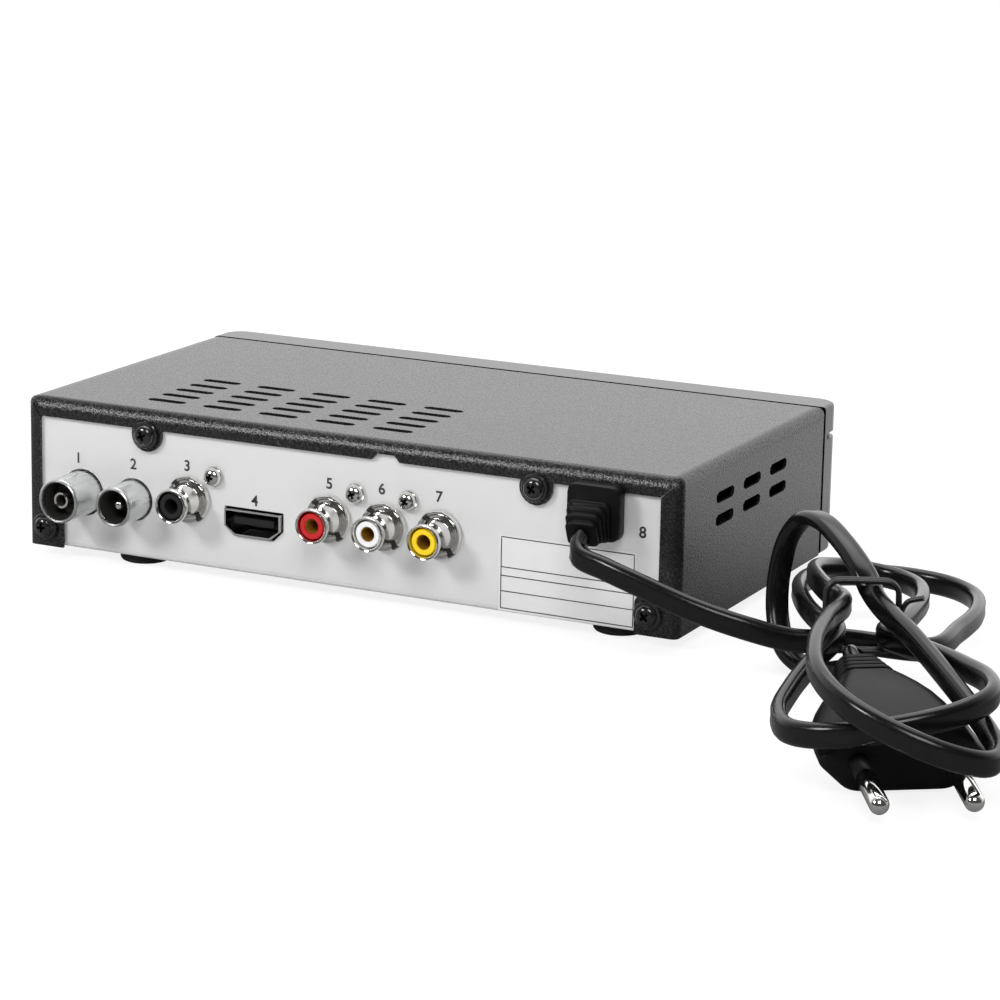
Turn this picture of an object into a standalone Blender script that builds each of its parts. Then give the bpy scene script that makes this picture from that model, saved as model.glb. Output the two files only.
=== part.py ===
"""Set-top television receiver with a tied mains cord, built as separate named pieces.

Metres, +Z up. The socket panel faces +Y, the display fascia faces -Y, and seen from behind
+X is on the left. The origin lies under the middle of the box, on the surface it stands on.
"""
import math

import bmesh
import bpy
from mathutils import Matrix, Vector

# Box: folded steel cover over a folded steel tray, with a moulded fascia
BOX_WIDTH = 0.1700
HALF_WIDTH = BOX_WIDTH / 2
COVER_DEPTH = 0.0860
COVER_HEIGHT = 0.0364
SHEET = 0.0008
BEND_RADIUS = 0.0015
THROUGH_SHEET = 4 * SHEET
THROUGH_PANEL = 6 * SHEET
SEAT = 0.0003
FOOT_HEIGHT = 0.0025
FOOT_DIAMETER = 0.0124
FOOT_INSET_PLUS_X = 0.0267
FOOT_INSET_MINUS_X = 0.0181
FOOT_INSET_REAR = 0.0100
FOOT_INSET_FRONT = 0.0120
REAR_REACH = 0.0130

# Cover: turned-in rear flanges, screw lobes, corner tabs and vents
TOP_FLANGE = 0.0045
FLANGE_PLUS_X = 0.0033
FLANGE_MINUS_X = 0.0047
TAB_PLUS_X = 0.0094
TAB_MINUS_X = 0.0104
TAB_HEIGHT = 0.0088
TAB_CORNER = 0.0014
LOBE_RADIUS = 0.0041
MITRE_SLIT = 0.0003
NOTCH_X = -0.0118
NOTCH_MOUTH = 0.0072
NOTCH_FLOOR = 0.0046
NOTCH_DEPTH = 0.0015
SLOT_WIDTH = 0.0026
TOP_SLOT_LENGTH = 0.0105
TOP_SLOT_COLUMNS = 5
TOP_SLOT_ROWS = 5
TOP_SLOT_PITCH_X = 0.0152
TOP_SLOT_PITCH_Y = 0.0064
TOP_SLOT_INSET = 0.0316
TOP_SLOT_FIRST_REAR = 0.0118
SIDE_SLOT_LENGTH = 0.0106
SIDE_SLOT_COLUMNS = 3
SIDE_SLOT_ROWS = 2
SIDE_SLOT_PITCH_Y = 0.0159
SIDE_SLOT_PITCH_Z = 0.0053
SIDE_SLOT_FIRST_REAR = 0.0256
SIDE_SLOT_LOW = 0.0226

# Tray: floor, socket panel and turned-up lips, with pressed posts under the boards
LIP_HEIGHT = 0.0080
LIP_CLEAR_OF_FASCIA = 0.0065
POST_DIAMETER = 0.0060
BOARD_TOP = 0.0086
BOARD_THICKNESS = 0.0016

# Fascia, display window, keys and front socket; the gaps between them run from the -X side to the +X side
FASCIA_GAP = 0.0009
FASCIA_DEPTH = 0.0100
FASCIA_CORNER = 0.0052
FASCIA_WALL = 0.0018
FASCIA_EDGE = 0.0008
FASCIA_LIP = 0.0040
FASCIA_LIP_WALL = 0.0012
FASCIA_LIP_LOW = 0.0105
GROOVE_LOW = 0.0282
GROOVE_HEIGHT = 0.0015
GROOVE_DEPTH = 0.0009
WINDOW_WIDTH = 0.0840
WINDOW_HEIGHT = 0.0170
WINDOW_Z = 0.0155
WINDOW_CORNER = 0.0020
WINDOW_RECESS = 0.0012
KEY_NAMES = ("standby_key", "channel_down_key", "channel_up_key")
KEY_PITCH = 0.0135
KEY_Z = 0.0155
KEY_WIDTH = 0.0090
KEY_HEIGHT = 0.0046
KEY_CORNER = 0.0016
KEY_PROUD = 0.0008
KEY_FLANGE = 0.0010
KEY_FLANGE_EDGE = 0.0010
KEY_STEM = 0.0030
KEY_TRAVEL = 0.0005
KEY_CLEARANCE = 0.0003
DATA_Z = 0.0170
DATA_WIDTH = 0.0131
DATA_HEIGHT = 0.0057
DATA_DEPTH = 0.0140
DATA_WALL = 0.0004
FRONT_GAPS = (0.00945, 0.00845, 0.0085, 0.0105)
KEYS_WIDTH = (len(KEY_NAMES) - 1) * KEY_PITCH + KEY_WIDTH
GAP_SCALE = (BOX_WIDTH - DATA_WIDTH - WINDOW_WIDTH - KEYS_WIDTH) / sum(FRONT_GAPS)
DATA_X = FRONT_GAPS[0] * GAP_SCALE + DATA_WIDTH / 2 - HALF_WIDTH
WINDOW_X = DATA_X + (DATA_WIDTH + WINDOW_WIDTH) / 2 + FRONT_GAPS[1] * GAP_SCALE
KEY_FIRST_X = WINDOW_X + (WINDOW_WIDTH + KEY_WIDTH) / 2 + FRONT_GAPS[2] * GAP_SCALE

# Sockets on the panel, from its +X side; heights are above the tray's underside
RF_IN_INSET = 0.0146
RF_OUT_INSET = 0.0288
RF_Z = 0.0142
RF_IN_DIAMETER = 0.0107
RF_OUT_DIAMETER = 0.0096
RF_IN_LENGTH = 0.0111
RF_OUT_LENGTH = 0.0094
RF_WALL = 0.0009
RF_CONTACT_DIAMETER = 0.0044
RF_CONTACT_BORE = 0.0024
RF_CONTACT_SETBACK = 0.0015
RF_PIN_DIAMETER = 0.0024
RF_PIN_SETBACK = 0.0020
RF_IN_WELL = 0.0060
RF_OUT_WELL = 0.0080
COAX_INSET = 0.0442
LEFT_INSET = 0.0817
RIGHT_INSET = 0.0962
VIDEO_INSET = 0.1105
RCA_Z = 0.0162
RCA_COLLAR_DIAMETER = 0.0114
RCA_COLLAR_THICKNESS = 0.0012
RCA_DIAMETER = 0.0083
RCA_LENGTH = 0.0090
RCA_WALL = 0.0007
RCA_BORE = 0.0034
RCA_INSERT_SETBACK = 0.0006
RCA_BORE_DEPTH = 0.0070
DIGITAL_INSET = 0.0617
DIGITAL_Z = 0.0124
DIGITAL_WIDTH = 0.0150
DIGITAL_HEIGHT = 0.0062
DIGITAL_FOOT_WIDTH = 0.0098
DIGITAL_STEP = 0.0022
DIGITAL_WALL = 0.0004
DIGITAL_TONGUE = 0.0016
DIGITAL_PROUD = 0.0010
DIGITAL_DEPTH = 0.0115
HOLE_CLEARANCE = 0.0004

# Fasteners: how far in from the +X or the -X side, and the heights
UPPER_SCREW_IN_PLUS_X = 0.0331
UPPER_SCREW_PLUS_X_Z = 0.0306
UPPER_SCREW_IN_MINUS_X = 0.0352
UPPER_SCREW_MINUS_X_Z = 0.0304
LOWER_SCREW_IN_PLUS_X = 0.0048
LOWER_SCREW_IN_MINUS_X = 0.0070
LOWER_SCREW_Z = 0.0049
COAX_SCREW_INSET = 0.0510
COAX_SCREW_Z = 0.0226
LEFT_RIGHT_SCREW_INSET = 0.0887
RIGHT_VIDEO_SCREW_INSET = 0.1024
AV_SCREW_Z = 0.0232
WASHER_DIAMETER = 0.0066
WASHER_THICKNESS = 0.0006
HEAD_DIAMETER = 0.0050
HEAD_HEIGHT = 0.0016
JACK_WASHER_DIAMETER = 0.0047
JACK_HEAD_DIAMETER = 0.0042
SHANK_DIAMETER = 0.0024
SHANK_LENGTH = 0.0042
CROSS_LENGTH = 0.0028
CROSS_WIDTH = 0.0007
CROSS_DEPTH = 0.0009
CROSS_LEAN = 20.0
HEAD_SHOULDER = 0.42
HEAD_CROWN = 0.05

# Inside: boards and what stands on them
TUNER_WIDTH = 0.0310
TUNER_DEPTH = 0.0200
TUNER_HEIGHT = 0.0150
HOUSING_DEPTH = 0.0110
HOUSING_HEIGHT = 0.0182
AV_HOUSING_WIDTH = 0.0420
COAX_HOUSING_WIDTH = 0.0145
COAX_HOUSING_SHIFT = 0.0012
MAIN_BOARD_MARGIN = 0.0060
POWER_BOARD_MARGIN = 0.0030
BOARD_GAP = 0.0044
MAIN_BOARD_DEPTH = 0.0580
POWER_BOARD_WIDTH = 0.0380
POWER_BOARD_DEPTH = 0.0560
BOARD_ROOM = BOX_WIDTH - 2 * SHEET - MAIN_BOARD_MARGIN - POWER_BOARD_MARGIN
MAIN_BOARD_WIDTH = BOARD_ROOM - POWER_BOARD_WIDTH - BOARD_GAP
CHIP_SIZE = 0.0170
CHIP_HEIGHT = 0.0014
CHIP_INSET = 0.0650
CHIP_REAR = 0.0370
HEATSINK_SIZE = 0.0200
HEATSINK_BASE = 0.0020
HEATSINK_HEIGHT = 0.0080
HEATSINK_FINS = 6
FIN_WIDTH = 0.0014
TRANSFORMER_WIDTH = 0.0200
TRANSFORMER_DEPTH = 0.0170
TRANSFORMER_HEIGHT = 0.0170
BOBBIN_INSET = 0.0030
MAINS_CAPACITOR_DIAMETER = 0.0100
MAINS_CAPACITOR_HEIGHT = 0.0180
OUTPUT_CAPACITOR_DIAMETER = 0.0080
OUTPUT_CAPACITOR_HEIGHT = 0.0130
CONNECTOR_WIDTH = 0.0100
CONNECTOR_DEPTH = 0.0060
CONNECTOR_HEIGHT = 0.0080
FRONT_BOARD_LOW = 0.0098
FRONT_BOARD_HIGH = 0.0330
SWITCH_SIZE = 0.0060
SWITCH_BODY = 0.0035
SWITCH_PLUNGER = 0.00125
DISPLAY_WIDTH = 0.0300
DISPLAY_HEIGHT = 0.0140
DISPLAY_SHIFT = 0.0080
RECEIVER_SIZE = 0.0050
RECEIVER_SHIFT = 0.0300
RIBBON_WIDTH = 0.0120
RIBBON_THICKNESS = 0.0008
RIBBON_RISE = 0.0060
DC_LEAD_WIDTH = 0.0080
DC_LEAD_RISE = 0.0060
DC_LEAD_STEPS = 8

# Cord: strain relief in the panel, flat twin lead, plug and its pins
STRAIN_INSET = 0.0195
STRAIN_Z = 0.0260
STRAIN_BLOCK = 0.0127
STRAIN_BLOCK_DEPTH = 0.0039
STRAIN_BLOCK_RISE = 0.0014
STRAIN_NECK = 0.0080
STRAIN_NECK_CORNER = 0.0010
STRAIN_INNER = 0.0050
STRAIN_RIBS = 4
STRAIN_RIB_PITCH = 0.0017
STRAIN_RIB_GAP = 0.0006
STRAIN_NOSE = 0.0072
STRAIN_DROOP = 35.0
CORD_WIDTH = 0.0053
CORD_THICKNESS = 0.0033
PLUG_X = -0.1638
PLUG_BEHIND = 0.07035
PLUG_TURN = 34.8
PLUG_NOSE_DOWN = 10.0
PIN_DIAMETER = 0.0040
PIN_LENGTH = 0.0190
PIN_SPACING = 0.0186
PIN_ROOT = 0.0050
STRAIN_LUG = 0.0096
STRAIN_SHOULDER = 0.0104
STRAIN_SWAY = 12.0
CORNER_STEPS = 2
PLUG_Z = 0.0071
PIN_STEPS = 14
CORD_STATION = 0.0034
FLAT_SHARE = 0.60
ROUND_SHARE = 0.45
FINE_STEPS = 6
EASING_PASSES = 12
SAME_STRETCH = 0.016

# Lathe steps of the sockets, and of everything smaller, and the angle from which an edge is shaded sharp
AERIAL_STEPS = 20
SMALL_STEPS = 14
SHARP_ANGLE = 32.0

# The plug's sections: how far behind the face, then width, width of the flats and height
PLUG_SECTIONS = (
    (0.0000, 0.0341, 0.0202, 0.0129), (0.0006, 0.0353, 0.0210, 0.0137), (0.0100, 0.0346, 0.0206, 0.0136),
    (0.0180, 0.0298, 0.0184, 0.0130), (0.0260, 0.0206, 0.0136, 0.0114), (0.0310, 0.0146, 0.0098, 0.0098),
    (0.0310, 0.0126, 0.0084, 0.0084), (0.0322, 0.0124, 0.0082, 0.0083), (0.0322, 0.0136, 0.0092, 0.0093),
    (0.0338, 0.0130, 0.0088, 0.0090), (0.0338, 0.0114, 0.0076, 0.0078), (0.0350, 0.0112, 0.0074, 0.0076),
    (0.0350, 0.0122, 0.0082, 0.0085), (0.0366, 0.0116, 0.0078, 0.0080), (0.0366, 0.0102, 0.0068, 0.0070),
    (0.0378, 0.0100, 0.0066, 0.0068), (0.0378, 0.0108, 0.0072, 0.0076), (0.0400, 0.0100, 0.0068, 0.0070),
)

# The lead's points: place across the box, distance behind the cover, and height
LEAD_ROUTE = (
    (-0.06635, 0.01075, 0.02610), (-0.06730, 0.01485, 0.02320), (-0.07530, 0.01775, 0.02160),
    (-0.08450, 0.01885, 0.01930), (-0.09550, 0.01885, 0.01600), (-0.10670, 0.01635, 0.01280),
    (-0.11740, 0.01082, 0.00985), (-0.12600, 0.00608, 0.00992),
)
PLUG_ROUTE = ((-0.1374, 0.02535, 0.0109), (-0.1381, 0.03345, 0.0149), (-0.1411, 0.03775, 0.0140))

# The hank: its waist, the places of the strands in it, and its loops in the order they are wound
WAIST_PLACE = (-0.1370, 0.01685, 0.0215)
WAIST_BEARING = 25.0
LOOP_STEPS = 12
WAIST_PLACES = (
    (-0.00493, -0.01178), (0.00744, -0.00569), (-0.00200, -0.00591),
    (0.00646, 0.00075), (-0.00018, 0.00176), (0.00143, -0.01059),
)
LOOPS = (
    {"bearing": 194.810, "length": 0.07655, "half": 0.01551, "power": 1.4, "bulge": 0.25,
     "curl": 0.0, "drop": -0.00473, "lean": 0.0094, "standing": False},
    {"bearing": 26.181, "length": 0.06654, "half": 0.01738, "power": 1.0, "bulge": 0.25,
     "curl": 0.0, "drop": -0.00019, "lean": -0.2161, "standing": False},
    {"bearing": 198.946, "length": 0.06120, "half": 0.00907, "power": 1.4, "bulge": 0.25,
     "curl": 0.0, "drop": -0.00622, "lean": -0.0236, "standing": False},
    {"bearing": 26.458, "length": 0.07768, "half": 0.01372, "power": 1.0, "bulge": 0.20,
     "curl": -0.0095, "drop": -0.00901, "lean": 0.3544, "standing": False},
    {"bearing": 231.100, "length": 0.03944, "half": 0.01157, "power": 1.3, "bulge": 0.25,
     "curl": 0.0, "drop": 0.00188, "lean": 0.1214, "standing": True},
)

# The twist tie round the waist: its middle, half sizes, pitch, and tails as side, rise and ahead
TIE_WIRE = 0.0012
TIE_SIDE = 0.0027
TIE_RISE = -0.0019
TIE_HALF_WIDTH = 0.0076
TIE_HALF_HEIGHT = 0.0077
TIE_SQUARE = 6.0
TIE_FROM = 180.0
TIE_STEPS = 28
TIE_ADVANCE = 0.0028
TIE_STATION = 0.0020
TIE_TAIL_START = ((-0.0100, -0.0085, -0.0018), (-0.0092, -0.0040, -0.0016))
TIE_TAIL_END = ((-0.0092, 0.0036, 0.0020), (-0.0125, 0.0050, 0.0034))

AERIAL_WELL = {"rf_in": RF_IN_WELL, "rf_out": RF_OUT_WELL}
# Places across the box, worked out from its sides
RF_IN_X = HALF_WIDTH - RF_IN_INSET
RF_OUT_X = HALF_WIDTH - RF_OUT_INSET
COAX_X = HALF_WIDTH - COAX_INSET
DIGITAL_X = HALF_WIDTH - DIGITAL_INSET
LEFT_X = HALF_WIDTH - LEFT_INSET
RIGHT_X = HALF_WIDTH - RIGHT_INSET
VIDEO_X = HALF_WIDTH - VIDEO_INSET
STRAIN_X = STRAIN_INSET - HALF_WIDTH
CHIP_X = HALF_WIDTH - CHIP_INSET
DISPLAY_X = WINDOW_X - DISPLAY_SHIFT
RECEIVER_X = WINDOW_X + RECEIVER_SHIFT
RIBBON_X = DISPLAY_X
COVER_SCREWS = (
    (HALF_WIDTH - UPPER_SCREW_IN_PLUS_X, UPPER_SCREW_PLUS_X_Z),
    (UPPER_SCREW_IN_MINUS_X - HALF_WIDTH, UPPER_SCREW_MINUS_X_Z),
    (HALF_WIDTH - LOWER_SCREW_IN_PLUS_X, LOWER_SCREW_Z),
    (LOWER_SCREW_IN_MINUS_X - HALF_WIDTH, LOWER_SCREW_Z),
)
JACK_SCREWS = (
    (HALF_WIDTH - COAX_SCREW_INSET, COAX_SCREW_Z),
    (HALF_WIDTH - LEFT_RIGHT_SCREW_INSET, AV_SCREW_Z),
    (HALF_WIDTH - RIGHT_VIDEO_SCREW_INSET, AV_SCREW_Z),
)
RCA_PLACES = (("coax", COAX_X), ("left", LEFT_X), ("right", RIGHT_X), ("video", VIDEO_X))

# Worked-out faces of the box
FASCIA_REACH = COVER_DEPTH + FASCIA_GAP + FASCIA_DEPTH
REAR_FACE = (FASCIA_REACH + KEY_PROUD - REAR_REACH) / 2
PANEL_FACE = REAR_FACE - SHEET - SEAT
PANEL_BACK = PANEL_FACE - SHEET
COVER_FRONT = REAR_FACE - COVER_DEPTH
FASCIA_BACK = COVER_FRONT - FASCIA_GAP
FRONT_FACE = FASCIA_BACK - FASCIA_DEPTH
UNDERSIDE = FOOT_HEIGHT
TOP_FACE = UNDERSIDE + COVER_HEIGHT
TOP_INSIDE = TOP_FACE - SHEET
SIDE_INSIDE = HALF_WIDTH - SHEET
FLOOR_TOP = UNDERSIDE + SHEET
BOARD_FACE = UNDERSIDE + BOARD_TOP
BOARD_BACK = BOARD_FACE - BOARD_THICKNESS
FLANGE_EDGE = TOP_FACE - TOP_FLANGE
REACH = 0.02

for leftover in list(bpy.data.objects):
    bpy.data.objects.remove(leftover, do_unlink=True)

receiver = bpy.data.collections.new("set_top_receiver")
cutters = bpy.data.collections.new("cutters")
for collection in (receiver, cutters):
    bpy.context.scene.collection.children.link(collection)


def finish(name, colour, roughness, metallic=0.0):
    """A Principled material of one colour."""
    made = bpy.data.materials.new(name)
    made.use_nodes = True
    shader = made.node_tree.nodes["Principled BSDF"]
    shader.inputs["Base Color"].default_value = (*colour, 1.0)
    shader.inputs["Roughness"].default_value = roughness
    shader.inputs["Metallic"].default_value = metallic
    return made


CHARCOAL_PAINT = finish("charcoal_paint", (0.055, 0.056, 0.058), 0.55, 0.2)
GREY_PAINT = finish("grey_paint", (0.70, 0.71, 0.72), 0.45, 0.1)
GREY_PLASTIC = finish("grey_plastic", (0.10, 0.10, 0.105), 0.40)
DARK_ACRYLIC = finish("dark_acrylic", (0.012, 0.010, 0.014), 0.12)
KEY_PLASTIC = finish("key_plastic", (0.045, 0.045, 0.048), 0.35)
BLACK_RUBBER = finish("black_rubber", (0.018, 0.018, 0.018), 0.80)
BLACK_SCREW = finish("black_screw", (0.030, 0.030, 0.032), 0.30, 0.9)
ZINC_SCREW = finish("zinc_screw", (0.62, 0.62, 0.60), 0.25, 1.0)
NICKEL = finish("nickel", (0.66, 0.64, 0.60), 0.22, 1.0)
GILT = finish("gilt_contact", (0.76, 0.56, 0.26), 0.28, 1.0)
TIN_PLATE = finish("tin_plate", (0.60, 0.61, 0.62), 0.35, 1.0)
RED_PLASTIC = finish("red_plastic", (0.55, 0.02, 0.02), 0.35)
WHITE_PLASTIC = finish("white_plastic", (0.80, 0.80, 0.78), 0.35)
YELLOW_PLASTIC = finish("yellow_plastic", (0.85, 0.55, 0.02), 0.35)
BLACK_PLASTIC = finish("black_plastic", (0.020, 0.020, 0.022), 0.40)
BOARD_GREEN = finish("board_green", (0.02, 0.12, 0.05), 0.50)
ALUMINIUM = finish("aluminium", (0.70, 0.71, 0.72), 0.35, 1.0)
TAPE_YELLOW = finish("tape_yellow", (0.65, 0.50, 0.08), 0.45)
CORD_BLACK = finish("cord_black", (0.015, 0.015, 0.016), 0.28)


def place(bm, name, material, holder=receiver):
    """Put a bmesh into the scene as one named object."""
    bmesh.ops.recalc_face_normals(bm, faces=bm.faces[:])
    mesh = bpy.data.meshes.new(name)
    bm.to_mesh(mesh)
    bm.free()
    made = bpy.data.objects.new(name, mesh)
    holder.objects.link(made)
    if material:
        mesh.materials.append(material)
        mesh.shade_smooth()
        mesh.set_sharp_from_angle(angle=math.radians(SHARP_ANGLE))
    else:
        made.hide_render = True
        made.display_type = "WIRE"
    return made


def boolean(target, tool, operation="DIFFERENCE"):
    """Cut or join with a hidden tool object."""
    modifier = target.modifiers.new(tool.name, "BOOLEAN")
    modifier.object = tool
    modifier.operation = operation
    modifier.solver = "EXACT"


def block_mesh(low, high, bevel=0.0, segments=2):
    """A box between two corners, with all its edges rounded."""
    low = Vector(low)
    high = Vector(high)
    bm = bmesh.new()
    bmesh.ops.create_cube(bm, size=1.0)
    bmesh.ops.scale(bm, vec=high - low, verts=bm.verts[:])
    bmesh.ops.translate(bm, vec=(low + high) / 2, verts=bm.verts[:])
    if bevel:
        bmesh.ops.bevel(bm, geom=bm.edges[:], offset=bevel, segments=segments, profile=0.5, affect="EDGES")
    return bm


def block(name, low, high, material, bevel=0.0, segments=2):
    """A named box between two corners."""
    return place(block_mesh(low, high, bevel, segments), name, material)


def cut_block(target, name, low, high, operation="DIFFERENCE"):
    """Cut a box out of a piece, or join one to it."""
    tool = place(block_mesh(low, high), name, None, cutters)
    boolean(target, tool, operation)


def folded_box(low, high, radius, sharp_axes, segments=3):
    """A box whose edges are bent round, apart from those of the faces named sharp."""
    bm = block_mesh(low, high)
    bent = []
    for edge in bm.edges:
        faces = [tuple(round(part) for part in face.normal) for face in edge.link_faces]
        if not any(face in sharp_axes for face in faces):
            bent.append(edge)
    bmesh.ops.bevel(bm, geom=bent, offset=radius, segments=segments, profile=0.5, affect="EDGES")
    return bm


def arc(centre, radius, start, stop, steps):
    """Points along an arc in degrees."""
    points = []
    for step in range(steps + 1):
        angle = math.radians(start + (stop - start) * step / steps)
        points.append((centre[0] + radius * math.cos(angle), centre[1] + radius * math.sin(angle)))
    return points


def rounded(width, height, radius, steps=3, centre=(0.0, 0.0)):
    """A rectangle with round corners."""
    points = []
    inner_x = width / 2 - radius
    inner_y = height / 2 - radius
    for corner, (sign_x, sign_y) in enumerate(((1, 1), (-1, 1), (-1, -1), (1, -1))):
        middle = (centre[0] + sign_x * inner_x, centre[1] + sign_y * inner_y)
        points += arc(middle, radius, 90 * corner, 90 * corner + 90, steps)
    return points


# Turns of a flat outline: standing on the XZ plane, or facing along X
UPRIGHT = Matrix.Rotation(math.radians(90), 4, "X")
SIDEWAYS = Matrix.Rotation(math.radians(90), 4, "Z") @ UPRIGHT


def outlines_mesh(outlines, thickness, middle, turn=Matrix.Identity(4)):
    """Closed flat outlines made solid, half the thickness to each side of the middle."""
    curve = bpy.data.curves.new("outline", "CURVE")
    curve.dimensions = "2D"
    curve.fill_mode = "BOTH"
    curve.extrude = thickness / 2
    for points in outlines:
        spline = curve.splines.new("POLY")
        spline.points.add(len(points) - 1)
        spline.use_cyclic_u = True
        for point, place_at in zip(spline.points, points):
            point.co = (place_at[0], place_at[1], 0.0, 1.0)
    holder = bpy.data.objects.new("outline", curve)
    cutters.objects.link(holder)
    evaluated = holder.evaluated_get(bpy.context.evaluated_depsgraph_get())
    mesh = bpy.data.meshes.new_from_object(evaluated)
    bm = bmesh.new()
    bm.from_mesh(mesh)
    bpy.data.objects.remove(holder, do_unlink=True)
    bpy.data.meshes.remove(mesh)
    bmesh.ops.remove_doubles(bm, verts=bm.verts[:], dist=0.000001)
    bmesh.ops.transform(bm, matrix=Matrix.Translation(middle) @ turn, verts=bm.verts[:])
    return bm


def plate(name, outlines, thickness, middle, turn, material):
    """A named plate from flat outlines."""
    return place(outlines_mesh(outlines, thickness, middle, turn), name, material)


def cut_outlines(target, name, outlines, thickness, middle, turn, operation="DIFFERENCE"):
    """Cut outlines of some thickness out of a piece, or join them to it."""
    tool = place(outlines_mesh(outlines, thickness, middle, turn), name, None, cutters)
    boolean(target, tool, operation)


# Turns of a lathe axis: pointing back out of the panel, or straight up
REARWARD = (math.radians(-90), 0.0, 0.0)
UPWARD = (0.0, 0.0, 0.0)


def turned(name, profile, base, rotation, material, steps=24, ring=False):
    """A lathe piece: (radius, height) points down the outer side, about the axis at its base."""
    mesh = bpy.data.meshes.new(name)
    corners = [(radius, 0.0, height) for radius, height in profile]
    edges = [(index, index + 1) for index in range(len(corners) - 1)]
    if ring:
        edges.append((len(corners) - 1, 0))
    mesh.from_pydata(corners, edges, [])
    made = bpy.data.objects.new(name, mesh)
    made.location = base
    made.rotation_euler = rotation
    screw = made.modifiers.new("turn", "SCREW")
    screw.steps = steps
    screw.render_steps = steps
    screw.use_merge_vertices = True
    screw.merge_threshold = 0.000001
    screw.use_smooth_shade = True
    if material:
        mesh.materials.append(material)
        receiver.objects.link(made)
    else:
        made.hide_render = True
        made.display_type = "WIRE"
        cutters.objects.link(made)
    return made


def drill(target, name, diameter, base, length, rotation=REARWARD, steps=24):
    """A round hole along the axis, half its length to each side of the base."""
    profile = ((0.0, length / 2), (diameter / 2, length / 2), (diameter / 2, -length / 2), (0.0, -length / 2))
    boolean(target, turned(name, profile, base, rotation, None, steps))


def slot_outline(length, width, centre, steps=3):
    """A slot with round ends, long along its first axis."""
    half = (length - width) / 2
    points = arc((centre[0] + half, centre[1]), width / 2, -90, 90, steps)
    return points + arc((centre[0] - half, centre[1]), width / 2, 90, 270, steps)


def lobe_edge(screw):
    """The hanging round edge about a screw, read from +X to -X along the flange."""
    x, height = screw
    centre = (x, UNDERSIDE + height)
    rise = math.degrees(math.asin((FLANGE_EDGE - centre[1]) / LOBE_RADIUS))
    return arc(centre, LOBE_RADIUS, rise, -180 - rise, 12)


def panel_opening():
    """The cover's rear opening, inside its flanges, lobes, notch and corner tabs."""
    floor = UNDERSIDE - REACH
    tab_top = UNDERSIDE + TAB_HEIGHT
    tab_left = HALF_WIDTH - TAB_PLUS_X
    tab_right = TAB_MINUS_X - HALF_WIDTH
    points = [(tab_left, floor)]
    points += arc((tab_left + TAB_CORNER, tab_top - TAB_CORNER), TAB_CORNER, 180, 90, 4)
    points += [(HALF_WIDTH - FLANGE_PLUS_X, tab_top), (HALF_WIDTH - FLANGE_PLUS_X, FLANGE_EDGE)]
    points += lobe_edge(COVER_SCREWS[0])
    notch_top = FLANGE_EDGE + NOTCH_DEPTH
    points += [(NOTCH_X + NOTCH_MOUTH / 2, FLANGE_EDGE), (NOTCH_X + NOTCH_FLOOR / 2, notch_top)]
    points += [(NOTCH_X - NOTCH_FLOOR / 2, notch_top), (NOTCH_X - NOTCH_MOUTH / 2, FLANGE_EDGE)]
    points += lobe_edge(COVER_SCREWS[1])
    points += [(FLANGE_MINUS_X - HALF_WIDTH, FLANGE_EDGE), (FLANGE_MINUS_X - HALF_WIDTH, tab_top)]
    points += arc((tab_right - TAB_CORNER, tab_top - TAB_CORNER), TAB_CORNER, 90, 0, 4)
    points.append((tab_right, floor))
    return points


def top_cover():
    """Folded cover: top and two sides, turned in round the panel, with rows of vents."""
    front_open = (0, -1, 0)
    floor_open = (0, 0, -1)
    low = (-HALF_WIDTH, COVER_FRONT, UNDERSIDE)
    high = (HALF_WIDTH, REAR_FACE, TOP_FACE)
    cover = place(folded_box(low, high, BEND_RADIUS, (front_open, floor_open)), "top_cover", CHARCOAL_PAINT)
    inner_low = (-SIDE_INSIDE, COVER_FRONT - REACH, UNDERSIDE - REACH)
    inner_high = (SIDE_INSIDE, REAR_FACE - SHEET, TOP_INSIDE)
    inside = folded_box(inner_low, inner_high, BEND_RADIUS - SHEET, (front_open, floor_open))
    boolean(cover, place(inside, "cover_inside", None, cutters))
    middle_y = REAR_FACE - SHEET / 2
    cut_outlines(cover, "cover_opening", [panel_opening()], THROUGH_SHEET, (0, middle_y, 0), UPRIGHT)
    mitre_slits(cover, middle_y)
    rows = []
    for column in range(TOP_SLOT_COLUMNS):
        for row in range(TOP_SLOT_ROWS):
            x = HALF_WIDTH - TOP_SLOT_INSET - column * TOP_SLOT_PITCH_X
            y = REAR_FACE - TOP_SLOT_FIRST_REAR - row * TOP_SLOT_PITCH_Y
            rows.append(slot_outline(TOP_SLOT_LENGTH, SLOT_WIDTH, (x, y)))
    cut_outlines(cover, "top_vents", rows, THROUGH_SHEET, (0, 0, TOP_FACE), Matrix.Identity(4))
    rows = []
    for column in range(SIDE_SLOT_COLUMNS):
        for row in range(SIDE_SLOT_ROWS):
            y = REAR_FACE - SIDE_SLOT_FIRST_REAR - column * SIDE_SLOT_PITCH_Y
            z = UNDERSIDE + SIDE_SLOT_LOW + row * SIDE_SLOT_PITCH_Z
            rows.append(slot_outline(SIDE_SLOT_LENGTH, SLOT_WIDTH, (y, z)))
    cut_outlines(cover, "side_vents", rows, BOX_WIDTH + REACH, (0, 0, 0), SIDEWAYS)
    for index, (x, height) in enumerate(COVER_SCREWS):
        hole = SHANK_DIAMETER + 2 * SEAT
        middle = (x, middle_y, UNDERSIDE + height)
        drill(cover, f"cover_screw_hole_{index}", hole, middle, THROUGH_SHEET, steps=16)
    return cover


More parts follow.
